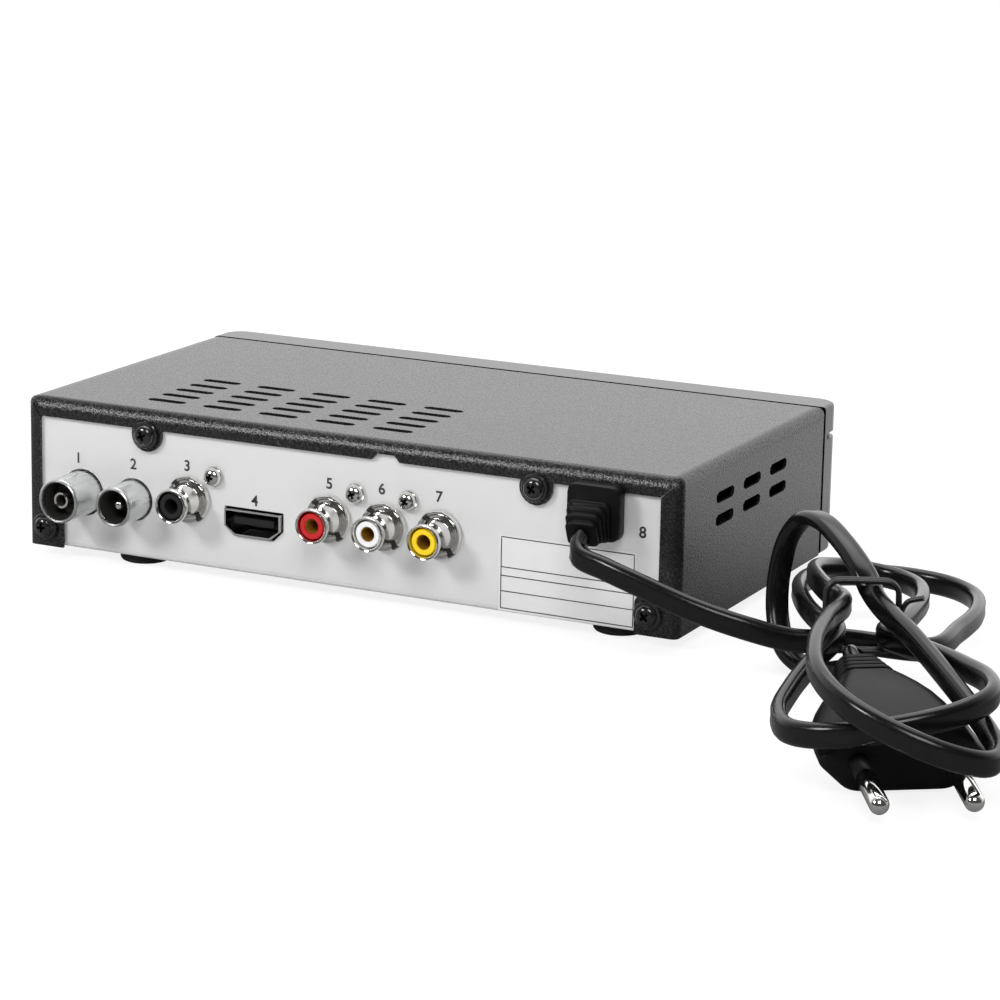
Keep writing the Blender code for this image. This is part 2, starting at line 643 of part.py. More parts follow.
def mitre_slits(cover, middle_y):
    """The open seam at each upper rear corner, where the top and side flanges meet."""
    for side, flange in ((1, FLANGE_PLUS_X), (-1, FLANGE_MINUS_X)):
        start = Vector((side * (HALF_WIDTH - flange), 0, FLANGE_EDGE))
        stop = Vector((side * (HALF_WIDTH - BEND_RADIUS), 0, TOP_FACE - BEND_RADIUS))
        along = stop - start
        slit = [(-along.length / 2, -MITRE_SLIT / 2), (along.length, -MITRE_SLIT / 2)]
        slit += [(along.length, MITRE_SLIT / 2), (-along.length / 2, MITRE_SLIT / 2)]
        lean = Matrix.Rotation(-math.atan2(along.z, along.x), 4, "Y")
        corner = (start.x, middle_y, start.z)
        cut_outlines(cover, f"mitre_slit_{side}", [slit], THROUGH_SHEET, corner, lean @ UPRIGHT)


def base_tray():
    """Folded tray: floor, socket panel, low lips and pressed posts for the boards."""
    clear = SIDE_INSIDE - SEAT
    roof = TOP_INSIDE - SEAT
    low = (-clear, COVER_FRONT, UNDERSIDE)
    high = (clear, PANEL_FACE, roof)
    top_open = (0, 0, 1)
    tray = place(folded_box(low, high, BEND_RADIUS, (top_open,)), "base_tray", GREY_PAINT)
    inner_low = (SHEET - clear, COVER_FRONT + SHEET, FLOOR_TOP)
    inner_high = (clear - SHEET, PANEL_BACK, roof + REACH)
    inside = folded_box(inner_low, inner_high, BEND_RADIUS - SHEET, (top_open,))
    boolean(tray, place(inside, "tray_inside", None, cutters))
    lip = UNDERSIDE + LIP_HEIGHT
    cut_block(tray, "tray_lips", (-BOX_WIDTH, COVER_FRONT - REACH, lip),
              (BOX_WIDTH, PANEL_FACE - BEND_RADIUS, roof + REACH))
    corner_low = UNDERSIDE + BEND_RADIUS + SEAT
    for side in (-1, 1):
        inner = side * (clear - BEND_RADIUS - SEAT)
        outer = side * (clear + REACH)
        cut_block(tray, f"tray_front_corner_{side}", (min(inner, outer), COVER_FRONT - REACH, corner_low),
                  (max(inner, outer), COVER_FRONT + LIP_CLEAR_OF_FASCIA, roof))
    posts = []
    for x, y in board_posts():
        posts.append(arc((x, y), POST_DIAMETER / 2, 0, 330, 11))
    post_height = BOARD_BACK - SEAT - UNDERSIDE - SHEET / 2
    post_middle = (0, 0, UNDERSIDE + SHEET / 2 + post_height / 2)
    cut_outlines(tray, "tray_posts", posts, post_height, post_middle, Matrix.Identity(4), "UNION")
    panel_holes(tray)
    return tray


def board_posts():
    """Where the boards stand on the tray: near the corners of each board."""
    places = []
    for left, right, rear, front in (main_board_edges(), power_board_edges()):
        inset = POST_DIAMETER
        for x in (left - inset, right + inset):
            for y in (rear - 2 * inset, front + inset):
                places.append((x, y))
    return places


def main_board_edges():
    """Left, right, rear and front edges of the main board."""
    left = SIDE_INSIDE - MAIN_BOARD_MARGIN
    rear = PANEL_BACK - 2 * SEAT
    return left, left - MAIN_BOARD_WIDTH, rear, rear - MAIN_BOARD_DEPTH


def power_board_edges():
    """Left, right, rear and front edges of the power board."""
    right = POWER_BOARD_MARGIN - SIDE_INSIDE
    rear = PANEL_BACK - STRAIN_INNER - CONNECTOR_DEPTH
    return right + POWER_BOARD_WIDTH, right, rear, rear - POWER_BOARD_DEPTH


def digital_outline(grow):
    """The socket's mouth: wide above, stepped in below with slanted corners."""
    wide = DIGITAL_WIDTH / 2 + grow
    narrow = DIGITAL_FOOT_WIDTH / 2 + grow
    high = DIGITAL_HEIGHT / 2 + grow
    step = DIGITAL_STEP - DIGITAL_HEIGHT / 2
    return [(-wide, high), (-wide, step), (-narrow, -high), (narrow, -high), (wide, step), (wide, high)]


def shifted(points, x, z):
    """Points moved across and up."""
    return [(x + point[0], z + point[1]) for point in points]


def panel_holes(tray):
    """Round and shaped holes for the sockets, the screws and the cord."""
    middle_y = (PANEL_FACE + PANEL_BACK) / 2
    through = THROUGH_PANEL
    for name, x, diameter in (("rf_in", RF_IN_X, RF_IN_DIAMETER), ("rf_out", RF_OUT_X, RF_OUT_DIAMETER)):
        drill(tray, f"{name}_hole", diameter + 2 * HOLE_CLEARANCE, (x, middle_y, UNDERSIDE + RF_Z), through)
    for name, x in RCA_PLACES:
        middle = (x, middle_y, UNDERSIDE + RCA_Z)
        drill(tray, f"{name}_hole", RCA_DIAMETER + 2 * HOLE_CLEARANCE, middle, through)
    mouth = shifted(digital_outline(HOLE_CLEARANCE), DIGITAL_X, UNDERSIDE + DIGITAL_Z)
    cut_outlines(tray, "digital_hole", [mouth], through, (0, middle_y, 0), UPRIGHT)
    for index, (x, height) in enumerate(COVER_SCREWS + JACK_SCREWS):
        hole = SHANK_DIAMETER + 2 * SEAT
        drill(tray, f"tray_screw_hole_{index}", hole, (x, middle_y, UNDERSIDE + height), through, steps=16)
    grip = rounded(STRAIN_NECK + 2 * SEAT, STRAIN_NECK + 2 * SEAT, STRAIN_NECK_CORNER, 3,
                   (STRAIN_X, UNDERSIDE + STRAIN_Z))
    cut_outlines(tray, "cord_hole", [grip], through, (0, middle_y, 0), UPRIGHT)


def fascia_plan(inset):
    """Plan of the fascia with round front corners, drawn in by an inset."""
    half = HALF_WIDTH - inset
    front = FRONT_FACE + inset
    corner = max(FASCIA_CORNER - inset, inset)
    points = arc((half - corner, front + corner), corner, 0, -90, 6)
    points += arc((corner - half, front + corner), corner, 270, 180, 6)
    return points


def front_fascia():
    """Moulded fascia: hollow behind, grooved, with a lip inside the cover and its openings."""
    body_plan = fascia_plan(0.0) + [(-HALF_WIDTH, FASCIA_BACK), (HALF_WIDTH, FASCIA_BACK)]
    bm = outlines_mesh([body_plan], COVER_HEIGHT, (0, 0, (UNDERSIDE + TOP_FACE) / 2))
    rims = [edge for edge in bm.edges if is_fascia_rim(edge)]
    bmesh.ops.bevel(bm, geom=rims, offset=FASCIA_EDGE, segments=2, profile=0.5, affect="EDGES")
    fascia = place(bm, "front_fascia", GREY_PLASTIC)
    hollow = fascia_plan(FASCIA_WALL)
    hollow.append((FASCIA_WALL - HALF_WIDTH, FASCIA_BACK + REACH))
    hollow.append((HALF_WIDTH - FASCIA_WALL, FASCIA_BACK + REACH))
    cut_outlines(fascia, "fascia_hollow", [hollow], COVER_HEIGHT - 2 * FASCIA_WALL,
                 (0, 0, (UNDERSIDE + TOP_FACE) / 2), Matrix.Identity(4))
    cut_groove(fascia)
    fascia_lip(fascia)
    middle_y = FRONT_FACE
    seat = rounded(WINDOW_WIDTH + 2 * SEAT, WINDOW_HEIGHT + 2 * SEAT, WINDOW_CORNER, 4,
                   (WINDOW_X, UNDERSIDE + WINDOW_Z))
    cut_outlines(fascia, "window_seat", [seat], 2 * WINDOW_RECESS, (0, middle_y, 0), UPRIGHT)
    light = rounded(WINDOW_WIDTH - 2 * WINDOW_CORNER, WINDOW_HEIGHT - 2 * WINDOW_CORNER, WINDOW_CORNER, 3,
                    (WINDOW_X, UNDERSIDE + WINDOW_Z))
    cut_outlines(fascia, "window_light", [light], 4 * FASCIA_WALL, (0, middle_y, 0), UPRIGHT)
    holes = []
    for index in range(len(KEY_NAMES)):
        holes.append(rounded(KEY_WIDTH + 2 * KEY_CLEARANCE, KEY_HEIGHT + 2 * KEY_CLEARANCE, KEY_CORNER, 3,
                             (key_x(index), UNDERSIDE + KEY_Z)))
    holes.append(rounded(DATA_WIDTH + 2 * SEAT, DATA_HEIGHT + 2 * SEAT, 2 * SEAT, 2,
                         (DATA_X, UNDERSIDE + DATA_Z)))
    cut_outlines(fascia, "key_and_data_holes", holes, 4 * FASCIA_WALL, (0, middle_y, 0), UPRIGHT)
    return fascia


def is_fascia_rim(edge):
    """Upper and lower outside edges of the fascia, apart from those at its back."""
    tops = [abs(vert.co.z - TOP_FACE) < SEAT or abs(vert.co.z - UNDERSIDE) < SEAT for vert in edge.verts]
    backs = [abs(vert.co.y - FASCIA_BACK) < SEAT for vert in edge.verts]
    level = abs(edge.verts[0].co.z - edge.verts[1].co.z) < SEAT
    sharp = len(edge.link_faces) == 2 and edge.calc_face_angle(0) > 1.0
    return all(tops) and level and not all(backs) and sharp


def cut_groove(fascia):
    """The level groove round the front and sides."""
    middle = (0, 0, UNDERSIDE + GROOVE_LOW + GROOVE_HEIGHT / 2)
    core = fascia_plan(GROOVE_DEPTH)
    core.append((GROOVE_DEPTH - HALF_WIDTH, FASCIA_BACK + REACH))
    core.append((HALF_WIDTH - GROOVE_DEPTH, FASCIA_BACK + REACH))
    start = FASCIA_BACK - GROOVE_HEIGHT
    outer = [(HALF_WIDTH + REACH, start), (HALF_WIDTH + REACH, FRONT_FACE - REACH)]
    outer += [(-HALF_WIDTH - REACH, FRONT_FACE - REACH), (-HALF_WIDTH - REACH, start)]
    band = place(outlines_mesh([outer], GROOVE_HEIGHT, middle), "groove_band", None, cutters)
    keep = place(outlines_mesh([core], 2 * GROOVE_HEIGHT, middle), "groove_core", None, cutters)
    boolean(band, keep)
    boolean(fascia, band)


def fascia_lip(fascia):
    """A thin lip over the top and sides that stands inside the cover's front edge."""
    outer_x = SIDE_INSIDE - SEAT
    inner_x = outer_x - FASCIA_LIP_WALL
    outer_z = TOP_INSIDE - SEAT
    inner_z = outer_z - FASCIA_LIP_WALL
    low = UNDERSIDE + FASCIA_LIP_LOW
    arch = [(outer_x, low), (outer_x, outer_z), (-outer_x, outer_z), (-outer_x, low)]
    arch += [(-inner_x, low), (-inner_x, inner_z), (inner_x, inner_z), (inner_x, low)]
    back = COVER_FRONT + FASCIA_LIP
    front = FASCIA_BACK - FASCIA_WALL
    cut_outlines(fascia, "fascia_lip", [arch], back - front, (0, (back + front) / 2, 0), UPRIGHT, "UNION")


def key_x(index):
    """Middle of a key across the box."""
    return KEY_FIRST_X + index * KEY_PITCH


def window_and_keys():
    """Display window in its seat, and the three sprung keys."""
    pane = rounded(WINDOW_WIDTH, WINDOW_HEIGHT, WINDOW_CORNER, 4)
    thickness = WINDOW_RECESS - SEAT
    middle = (WINDOW_X, FRONT_FACE + thickness / 2, UNDERSIDE + WINDOW_Z)
    plate("display_window", [pane], thickness, middle, UPRIGHT, DARK_ACRYLIC)
    for index, name in enumerate(KEY_NAMES):
        key(name, key_x(index))


def key(name, x):
    """A key cap with a flange behind the fascia wall and a stem towards its switch."""
    wall_back = FRONT_FACE + FASCIA_WALL
    cap_front = FRONT_FACE - KEY_PROUD
    cap_back = wall_back + SEAT + KEY_FLANGE / 2
    cap = rounded(KEY_WIDTH, KEY_HEIGHT, KEY_CORNER, 3)
    bm = outlines_mesh([cap], cap_back - cap_front, (0, (cap_back - cap_front) / 2, 0), UPRIGHT)
    face = [edge for edge in bm.edges if all(abs(vert.co.y) < SEAT / 10 for vert in edge.verts)]
    rim = [edge for edge in face if edge.calc_face_angle(0) > 1.0]
    bmesh.ops.bevel(bm, geom=rim, offset=KEY_PROUD / 2, segments=2, profile=0.5, affect="EDGES")
    made = place(bm, name, KEY_PLASTIC)
    made.location = (x, cap_front, UNDERSIDE + KEY_Z)
    flange_front = wall_back + SEAT - cap_front
    flange = rounded(KEY_WIDTH + 2 * KEY_FLANGE_EDGE, KEY_HEIGHT + 2 * KEY_FLANGE_EDGE, KEY_CORNER, 2)
    tool = place(outlines_mesh([flange], KEY_FLANGE, (0, flange_front + KEY_FLANGE / 2, 0), UPRIGHT),
                 f"{name}_flange", None, cutters)
    tool.location = made.location
    boolean(made, tool, "UNION")
    stem_back = switch_tip() - SEAT - KEY_TRAVEL - cap_front
    stem = arc((0, 0), KEY_STEM / 2, 0, 330, 11)
    stem_front = flange_front + KEY_FLANGE / 2
    tool = place(outlines_mesh([stem], stem_back - stem_front, (0, (stem_back + stem_front) / 2, 0), UPRIGHT),
                 f"{name}_stem", None, cutters)
    tool.location = made.location
    boolean(made, tool, "UNION")


def front_board_face():
    """Front face of the front board."""
    return FASCIA_BACK + SEAT


def switch_tip():
    """How far forward the plungers of the switches reach."""
    return front_board_face() - SEAT - SWITCH_BODY - SWITCH_PLUNGER


def feet():
    """Four rubber feet under the tray, drawn in a little towards the floor."""
    top = UNDERSIDE - SEAT
    radius = FOOT_DIAMETER / 2
    profile = ((0.0, top), (radius, top), (radius, top / 2), (radius - top / 4, 0.0), (0.0, 0.0))
    for side, x in (("left", HALF_WIDTH - FOOT_INSET_PLUS_X), ("right", FOOT_INSET_MINUS_X - HALF_WIDTH)):
        for end, y in (("rear", REAR_FACE - FOOT_INSET_REAR), ("front", COVER_FRONT + FOOT_INSET_FRONT)):
            turned(f"foot_{end}_{side}", profile, (x, y, 0), UPWARD, BLACK_RUBBER, SMALL_STEPS)


def screw(name, x, height, seat_y, washer, head, material):
    """A washer-head screw with a cross recess, its shank through the panel."""
    under = SEAT
    brim = under + WASHER_THICKNESS
    top = brim + HEAD_HEIGHT
    shank = SHANK_DIAMETER / 2
    profile = [(0.0, top), (head / 4, top - HEAD_HEIGHT * HEAD_CROWN)]
    profile.append((head * HEAD_SHOULDER, top - HEAD_HEIGHT / 3))
    profile += [(head / 2, brim), (washer / 2, brim), (washer / 2, under), (shank, under)]
    profile += [(shank, -SHANK_LENGTH), (0.0, -SHANK_LENGTH)]
    base = (x, seat_y, UNDERSIDE + height)
    made = turned(name, profile, base, REARWARD, material, SMALL_STEPS)
    cross = [(-CROSS_LENGTH / 2, -CROSS_WIDTH / 2), (-CROSS_WIDTH / 2, -CROSS_WIDTH / 2)]
    cross += [(-CROSS_WIDTH / 2, -CROSS_LENGTH / 2), (CROSS_WIDTH / 2, -CROSS_LENGTH / 2)]
    cross += [(CROSS_WIDTH / 2, -CROSS_WIDTH / 2), (CROSS_LENGTH / 2, -CROSS_WIDTH / 2)]
    cross += [(-a, -b) for a, b in cross]
    lean = Matrix.Rotation(math.radians(CROSS_LEAN), 4, "Y")
    cut_outlines(made, f"{name}_cross", [cross], 2 * CROSS_DEPTH, (x, seat_y + top, UNDERSIDE + height),
                 lean @ UPRIGHT)


def screws():
    """The four cover screws and the three socket screws."""
    names = ("upper_left", "upper_right", "lower_left", "lower_right")
    for name, (x, height) in zip(names, COVER_SCREWS):
        screw(f"cover_screw_{name}", x, height, REAR_FACE, WASHER_DIAMETER, HEAD_DIAMETER, BLACK_SCREW)
    names = ("coax", "left_right", "right_video")
    for name, (x, height) in zip(names, JACK_SCREWS):
        screw(f"jack_screw_{name}", x, height, PANEL_FACE, JACK_WASHER_DIAMETER, JACK_HEAD_DIAMETER,
              ZINC_SCREW)


def tuner_face():
    """Rear face of the tuner can."""
    return PANEL_BACK - 2 * SEAT


def aerial_sockets():
    """Tuner can with the aerial inlet and the loop-through outlet standing on it."""
    middle = (RF_IN_X + RF_OUT_X) / 2
    low = (middle - TUNER_WIDTH / 2, tuner_face() - TUNER_DEPTH, BOARD_FACE + SEAT)
    high = (middle + TUNER_WIDTH / 2, tuner_face(), BOARD_FACE + SEAT + TUNER_HEIGHT)
    block("tuner_can", low, high, TIN_PLATE, bevel=SHEET)
    seat = tuner_face() + SEAT
    height = UNDERSIDE + RF_Z
    for name, x, diameter, length in (("rf_in", RF_IN_X, RF_IN_DIAMETER, RF_IN_LENGTH),
                                      ("rf_out", RF_OUT_X, RF_OUT_DIAMETER, RF_OUT_LENGTH)):
        tip = PANEL_FACE + length - seat
        outer = diameter / 2
        inner = outer - RF_WALL
        ring = ((inner + RF_WALL / 3, tip), (outer - RF_WALL / 3, tip), (outer, tip - RF_WALL / 2))
        ring += ((outer, 0.0), (inner, 0.0), (inner, tip - RF_WALL / 2))
        turned(f"{name}_shell", ring, (x, seat, height), REARWARD, NICKEL, AERIAL_STEPS, ring=True)
        disc = inner - SEAT
        floor = tip - AERIAL_WELL[name]
        if name == "rf_in":
            metal = GILT
            stem = RF_CONTACT_DIAMETER / 2
            bore = RF_CONTACT_BORE / 2
            top = tip - RF_CONTACT_SETBACK
            core = ((0.0, floor), (bore, floor), (bore, top), (stem, top), (stem, floor), (disc, floor))
        else:
            metal = NICKEL
            stem = RF_PIN_DIAMETER / 2
            top = tip - RF_PIN_SETBACK
            core = ((0.0, top), (stem / 2, top), (stem, top - stem / 2), (stem, floor), (disc, floor))
        core += ((disc, 0.0), (0.0, 0.0))
        turned(f"{name}_contact", core, (x, seat, height), REARWARD, metal, SMALL_STEPS)


def phono_sockets():
    """Four phono sockets: collared shells with coloured inserts, in two moulded housings."""
    face = tuner_face()
    top = BOARD_FACE + SEAT + HOUSING_HEIGHT
    coax_middle = (COAX_X + JACK_SCREWS[0][0]) / 2 + COAX_HOUSING_SHIFT
    av_middle = (LEFT_X + VIDEO_X) / 2
    for name, x, width in (("coax_housing", coax_middle, COAX_HOUSING_WIDTH),
                           ("av_housing", av_middle, AV_HOUSING_WIDTH)):
        low = (x - width / 2, face - HOUSING_DEPTH, BOARD_FACE + SEAT)
        high = (x + width / 2, face, top)
        housing = block(name, low, high, BLACK_PLASTIC, bevel=SHEET)
        for index, (screw_x, height) in enumerate(JACK_SCREWS):
            if abs(screw_x - x) < width / 2:
                drill(housing, f"{name}_pilot_{index}", SHANK_DIAMETER + 2 * SEAT,
                      (screw_x, face, UNDERSIDE + height), 2 * SHANK_LENGTH, steps=12)
    seat = face + SEAT
    colours = (BLACK_PLASTIC, RED_PLASTIC, WHITE_PLASTIC, YELLOW_PLASTIC)
    for (name, x), colour in zip(RCA_PLACES, colours):
        phono_socket(name, (x, seat, UNDERSIDE + RCA_Z), colour)


def phono_socket(name, base, colour):
    """One phono socket: a collared shell and its coloured insert."""
    tip = PANEL_FACE + RCA_LENGTH - base[1]
    collar_low = PANEL_FACE + SEAT - base[1]
    collar_high = collar_low + RCA_COLLAR_THICKNESS
    outer = RCA_DIAMETER / 2
    inner = outer - RCA_WALL
    collar = RCA_COLLAR_DIAMETER / 2
    ring = ((inner + RCA_WALL / 3, tip), (outer - RCA_WALL / 3, tip), (outer, tip - RCA_WALL / 2))
    ring += ((outer, collar_high), (collar - SEAT, collar_high), (collar, collar_high - SEAT))
    ring += ((collar, collar_low), (outer, collar_low), (outer, 0.0))
    ring += ((inner, 0.0), (inner, tip - RCA_WALL / 2))
    turned(f"{name}_shell", ring, base, REARWARD, NICKEL, AERIAL_STEPS, ring=True)
    face = tip - RCA_INSERT_SETBACK
    floor = face - RCA_BORE_DEPTH
    bore = RCA_BORE / 2
    disc = inner - SEAT
    core = ((0.0, floor), (bore, floor), (bore, face), (disc - SEAT, face), (disc, face - SEAT))
    core += ((disc, 0.0), (0.0, 0.0))
    turned(f"{name}_insert", core, base, REARWARD, colour, SMALL_STEPS)


def digital_socket():
    """Shaped metal shell with a contact tongue inside."""
    mouth = PANEL_FACE + DIGITAL_PROUD
    back = mouth - DIGITAL_DEPTH
    middle = (DIGITAL_X, (mouth + back) / 2, UNDERSIDE + DIGITAL_Z)
    shell = plate("digital_shell", [digital_outline(0.0)], DIGITAL_DEPTH, middle, UPRIGHT, NICKEL)
    hollow = (DIGITAL_X, mouth, UNDERSIDE + DIGITAL_Z)
    cut_outlines(shell, "digital_hollow", [digital_outline(-DIGITAL_WALL)],
                 2 * (DIGITAL_DEPTH - DIGITAL_WALL), hollow, UPRIGHT)
    gap = DIGITAL_WALL + SEAT
    rear = back + gap
    plug_depth = DIGITAL_DEPTH / 3
    tongue = plate("digital_tongue", [digital_outline(-gap)], plug_depth,
                   (DIGITAL_X, rear + plug_depth / 2, middle[2]), UPRIGHT, BLACK_PLASTIC)
    half = DIGITAL_WIDTH / 2 - DIGITAL_STEP
    low = (DIGITAL_X - half, rear + plug_depth / 2, middle[2] - DIGITAL_TONGUE / 4)
    high = (DIGITAL_X + half, mouth - DIGITAL_PROUD, middle[2] + DIGITAL_TONGUE * 3 / 4)
    cut_block(tongue, "digital_tongue_blade", low, high, "UNION")


def boards():
    """Main, power and front boards with the pieces that stand on them."""
    for name, edges in (("main_board", main_board_edges()), ("power_board", power_board_edges())):
        left, right, rear, front = edges
        block(name, (right, front, BOARD_BACK), (left, rear, BOARD_FACE), BOARD_GREEN)
    deck = BOARD_FACE + SEAT
    chip_y = PANEL_BACK - CHIP_REAR
    half = CHIP_SIZE / 2
    block("decoder_chip", (CHIP_X - half, chip_y - half, deck),
          (CHIP_X + half, chip_y + half, deck + CHIP_HEIGHT), BLACK_PLASTIC, bevel=SEAT)
    heatsink(chip_y, deck + CHIP_HEIGHT + SEAT)
    power_pieces(deck)
    front_pieces()


def heatsink(chip_y, low):
    """Finned cooler on the decoder chip."""
    half = HEATSINK_SIZE / 2
    base_top = low + HEATSINK_BASE
    cooler = block("heatsink", (CHIP_X - half, chip_y - half, low),
                   (CHIP_X + half, chip_y + half, base_top), ALUMINIUM)
    pitch = (HEATSINK_SIZE - FIN_WIDTH) / (HEATSINK_FINS - 1)
    fins = []
    for index in range(HEATSINK_FINS):
        x = CHIP_X - half + FIN_WIDTH / 2 + index * pitch
        fins.append(rounded(FIN_WIDTH, HEATSINK_SIZE, FIN_WIDTH / 4, 1, (x, chip_y)))
    root = base_top - HEATSINK_BASE / 2
    tip = low + HEATSINK_HEIGHT
    cut_outlines(cooler, "heatsink_fins", fins, tip - root, (0, 0, (tip + root) / 2),
                 Matrix.Identity(4), "UNION")


def can(name, x, y, deck, diameter, height):
    """An upright electrolytic capacitor with a rolled groove near its foot."""
    radius = diameter / 2
    rim = radius - SHEET / 2
    profile = ((0.0, height), (rim, height), (radius, height - SHEET / 2))
    profile += ((radius, 4 * SHEET), (rim, 3 * SHEET), (radius, 2 * SHEET), (radius, 0.0), (0.0, 0.0))
    turned(name, profile, (x, y, deck), UPWARD, BLACK_PLASTIC, SMALL_STEPS)


def power_pieces(deck):
    """Mains connector, reservoir capacitor, transformer and output capacitor."""
    left, right, rear, front = power_board_edges()
    middle = (left + right) / 2
    margin = 2 * BOARD_THICKNESS
    top = rear - margin
    block("mains_connector", (STRAIN_X - CONNECTOR_WIDTH / 2, top - CONNECTOR_DEPTH, deck),
          (STRAIN_X + CONNECTOR_WIDTH / 2, top, deck + CONNECTOR_HEIGHT), WHITE_PLASTIC, bevel=SEAT)
    radius = MAINS_CAPACITOR_DIAMETER / 2
    can("mains_capacitor", left - margin - radius, top - CONNECTOR_DEPTH - radius, deck,
        MAINS_CAPACITOR_DIAMETER, MAINS_CAPACITOR_HEIGHT)
    core_rear = top - CONNECTOR_DEPTH - MAINS_CAPACITOR_DIAMETER - margin
    low = (middle - TRANSFORMER_WIDTH / 2, core_rear - TRANSFORMER_DEPTH, deck)
    high = (middle + TRANSFORMER_WIDTH / 2, core_rear, deck + TRANSFORMER_HEIGHT)
    core = block("transformer", low, high, TAPE_YELLOW, bevel=SHEET)
    bobbin_low = (low[0] + BOBBIN_INSET, low[1] - BOBBIN_INSET / 2, deck)
    bobbin_high = (high[0] - BOBBIN_INSET, high[1] + BOBBIN_INSET / 2, high[2] - BOBBIN_INSET)
    cut_block(core, "transformer_bobbin", bobbin_low, bobbin_high, "UNION")
    radius = OUTPUT_CAPACITOR_DIAMETER / 2
    can("output_capacitor", left - margin - radius, front + margin + radius, deck,
        OUTPUT_CAPACITOR_DIAMETER, OUTPUT_CAPACITOR_HEIGHT)


def front_pieces():
    """Front board with its display, remote-control receiver, switches and front socket."""
    face = front_board_face()
    half = SIDE_INSIDE - 2 * SEAT - FASCIA_LIP_WALL
    board = block("front_board", (-half, face, UNDERSIDE + FRONT_BOARD_LOW),
                  (half, face + BOARD_THICKNESS, UNDERSIDE + FRONT_BOARD_HIGH), BOARD_GREEN)
    cut_block(board, "data_notch", (DATA_X - DATA_WIDTH / 2 - SEAT, face - REACH, UNDERSIDE),
              (DATA_X + DATA_WIDTH / 2 + SEAT, face + REACH, UNDERSIDE + DATA_Z + DATA_HEIGHT / 2 + SEAT))
    mount = face - SEAT
    behind_window = FRONT_FACE + FASCIA_WALL + SEAT
    height = UNDERSIDE + WINDOW_Z
    block("led_display", (DISPLAY_X - DISPLAY_WIDTH / 2, behind_window, height - DISPLAY_HEIGHT / 2),
          (DISPLAY_X + DISPLAY_WIDTH / 2, mount, height + DISPLAY_HEIGHT / 2), BLACK_PLASTIC, bevel=SEAT)
    half = RECEIVER_SIZE / 2
    block("remote_receiver", (RECEIVER_X - half, behind_window, height - half),
          (RECEIVER_X + half, mount, height + half), BLACK_PLASTIC, bevel=SHEET)
    for index, name in enumerate(KEY_NAMES):
        tact_switch(name.replace("key", "switch"), key_x(index), mount)
    data_socket()


def tact_switch(name, x, mount):
    """A square push switch whose plunger faces its key."""
    half = SWITCH_SIZE / 2
    height = UNDERSIDE + KEY_Z
    body = block(name, (x - half, mount - SWITCH_BODY, height - half),
                 (x + half, mount, height + half), BLACK_PLASTIC, bevel=SEAT)
    plunger = arc((x, height), KEY_STEM / 2, 0, 330, 11)
    root = mount - SWITCH_BODY / 2
    tip = switch_tip()
    cut_outlines(body, f"{name}_plunger", [plunger], root - tip, (0, (root + tip) / 2, 0), UPRIGHT, "UNION")


def data_socket():
    """The front socket: an open metal shell set flush with the fascia."""
    front = FRONT_FACE + SEAT
    low = (DATA_X - DATA_WIDTH / 2, front, UNDERSIDE + DATA_Z - DATA_HEIGHT / 2)
    high = (DATA_X + DATA_WIDTH / 2, front + DATA_DEPTH, UNDERSIDE + DATA_Z + DATA_HEIGHT / 2)
    shell = block("data_socket", low, high, NICKEL, bevel=SEAT)
    cut_block(shell, "data_mouth", (low[0] + DATA_WALL, front - REACH, low[2] + DATA_WALL),
              (high[0] - DATA_WALL, high[1] - DATA_WALL, high[2] - DATA_WALL))
    blade_top = high[2] - DATA_WALL - SEAT
    cut_block(shell, "data_blade", (low[0] + 2 * SHEET, front + SHEET, blade_top - 2 * SHEET),
              (high[0] - 2 * SHEET, high[1] - DATA_WALL / 2, blade_top), "UNION")


def strip(name, path, width, thickness, middle, turn, material):
    """A flat flexible strip: a path given a thickness, then a width across it."""
    points = [Vector(point) for point in path]
    upper = []
    lower = []
    for index, point in enumerate(points):
        before = points[max(index - 1, 0)]
        after = points[min(index + 1, len(points) - 1)]
        along = (after - before).normalized()
        across = Vector((-along.y, along.x)) * thickness / 2
        upper.append(tuple(point + across))
        lower.append(tuple(point - across))
    return plate(name, [upper + lower[::-1]], width, middle, turn, material)


def inner_leads():
    """Ribbon between the main and front boards, and the supply lead between the other two."""
    deck = BOARD_FACE + SEAT + RIBBON_THICKNESS / 2
    start = main_board_edges()[3] + RIBBON_WIDTH / 2
    stop = front_board_face() + BOARD_THICKNESS + SEAT + RIBBON_THICKNESS / 2
    rise = UNDERSIDE + WINDOW_Z + RIBBON_RISE
    bend = start - stop
    path = [(start, deck)]
    path += arc((stop + bend / 2, deck + bend / 2), bend / 2, 270, 180, 6)
    path.append((stop, rise))
    strip("ribbon_lead", path, RIBBON_WIDTH, RIBBON_THICKNESS, (RIBBON_X, 0, 0), SIDEWAYS, WHITE_PLASTIC)
    near = power_board_edges()[0]
    far = main_board_edges()[1]
    margin = DC_LEAD_WIDTH / 2
    span = far - near + 2 * margin
    path = []
    for step in range(DC_LEAD_STEPS + 1):
        share = step / DC_LEAD_STEPS
        path.append((near - margin + span * share, deck + DC_LEAD_RISE * math.sin(math.pi * share) ** 2))
    y = (power_board_edges()[2] + power_board_edges()[3]) / 2
    strip("supply_lead", path, DC_LEAD_WIDTH, RIBBON_THICKNESS, (0, y, 0), UPRIGHT, BLACK_PLASTIC)


def bearing(degrees):
    """A level direction, measured from +Y towards -X."""
    turn = math.radians(degrees)
    return Vector((-math.sin(turn), math.cos(turn), 0.0))


UP = Vector((0.0, 0.0, 1.0))
WAIST_ACROSS = bearing(WAIST_BEARING).cross(UP)


def behind_cover(point):
    """A point of the cord, given by how far it lies behind the cover."""
    x, behind, height = point
    return Vector((x, REAR_FACE + behind, height))


WAIST = behind_cover(WAIST_PLACE)


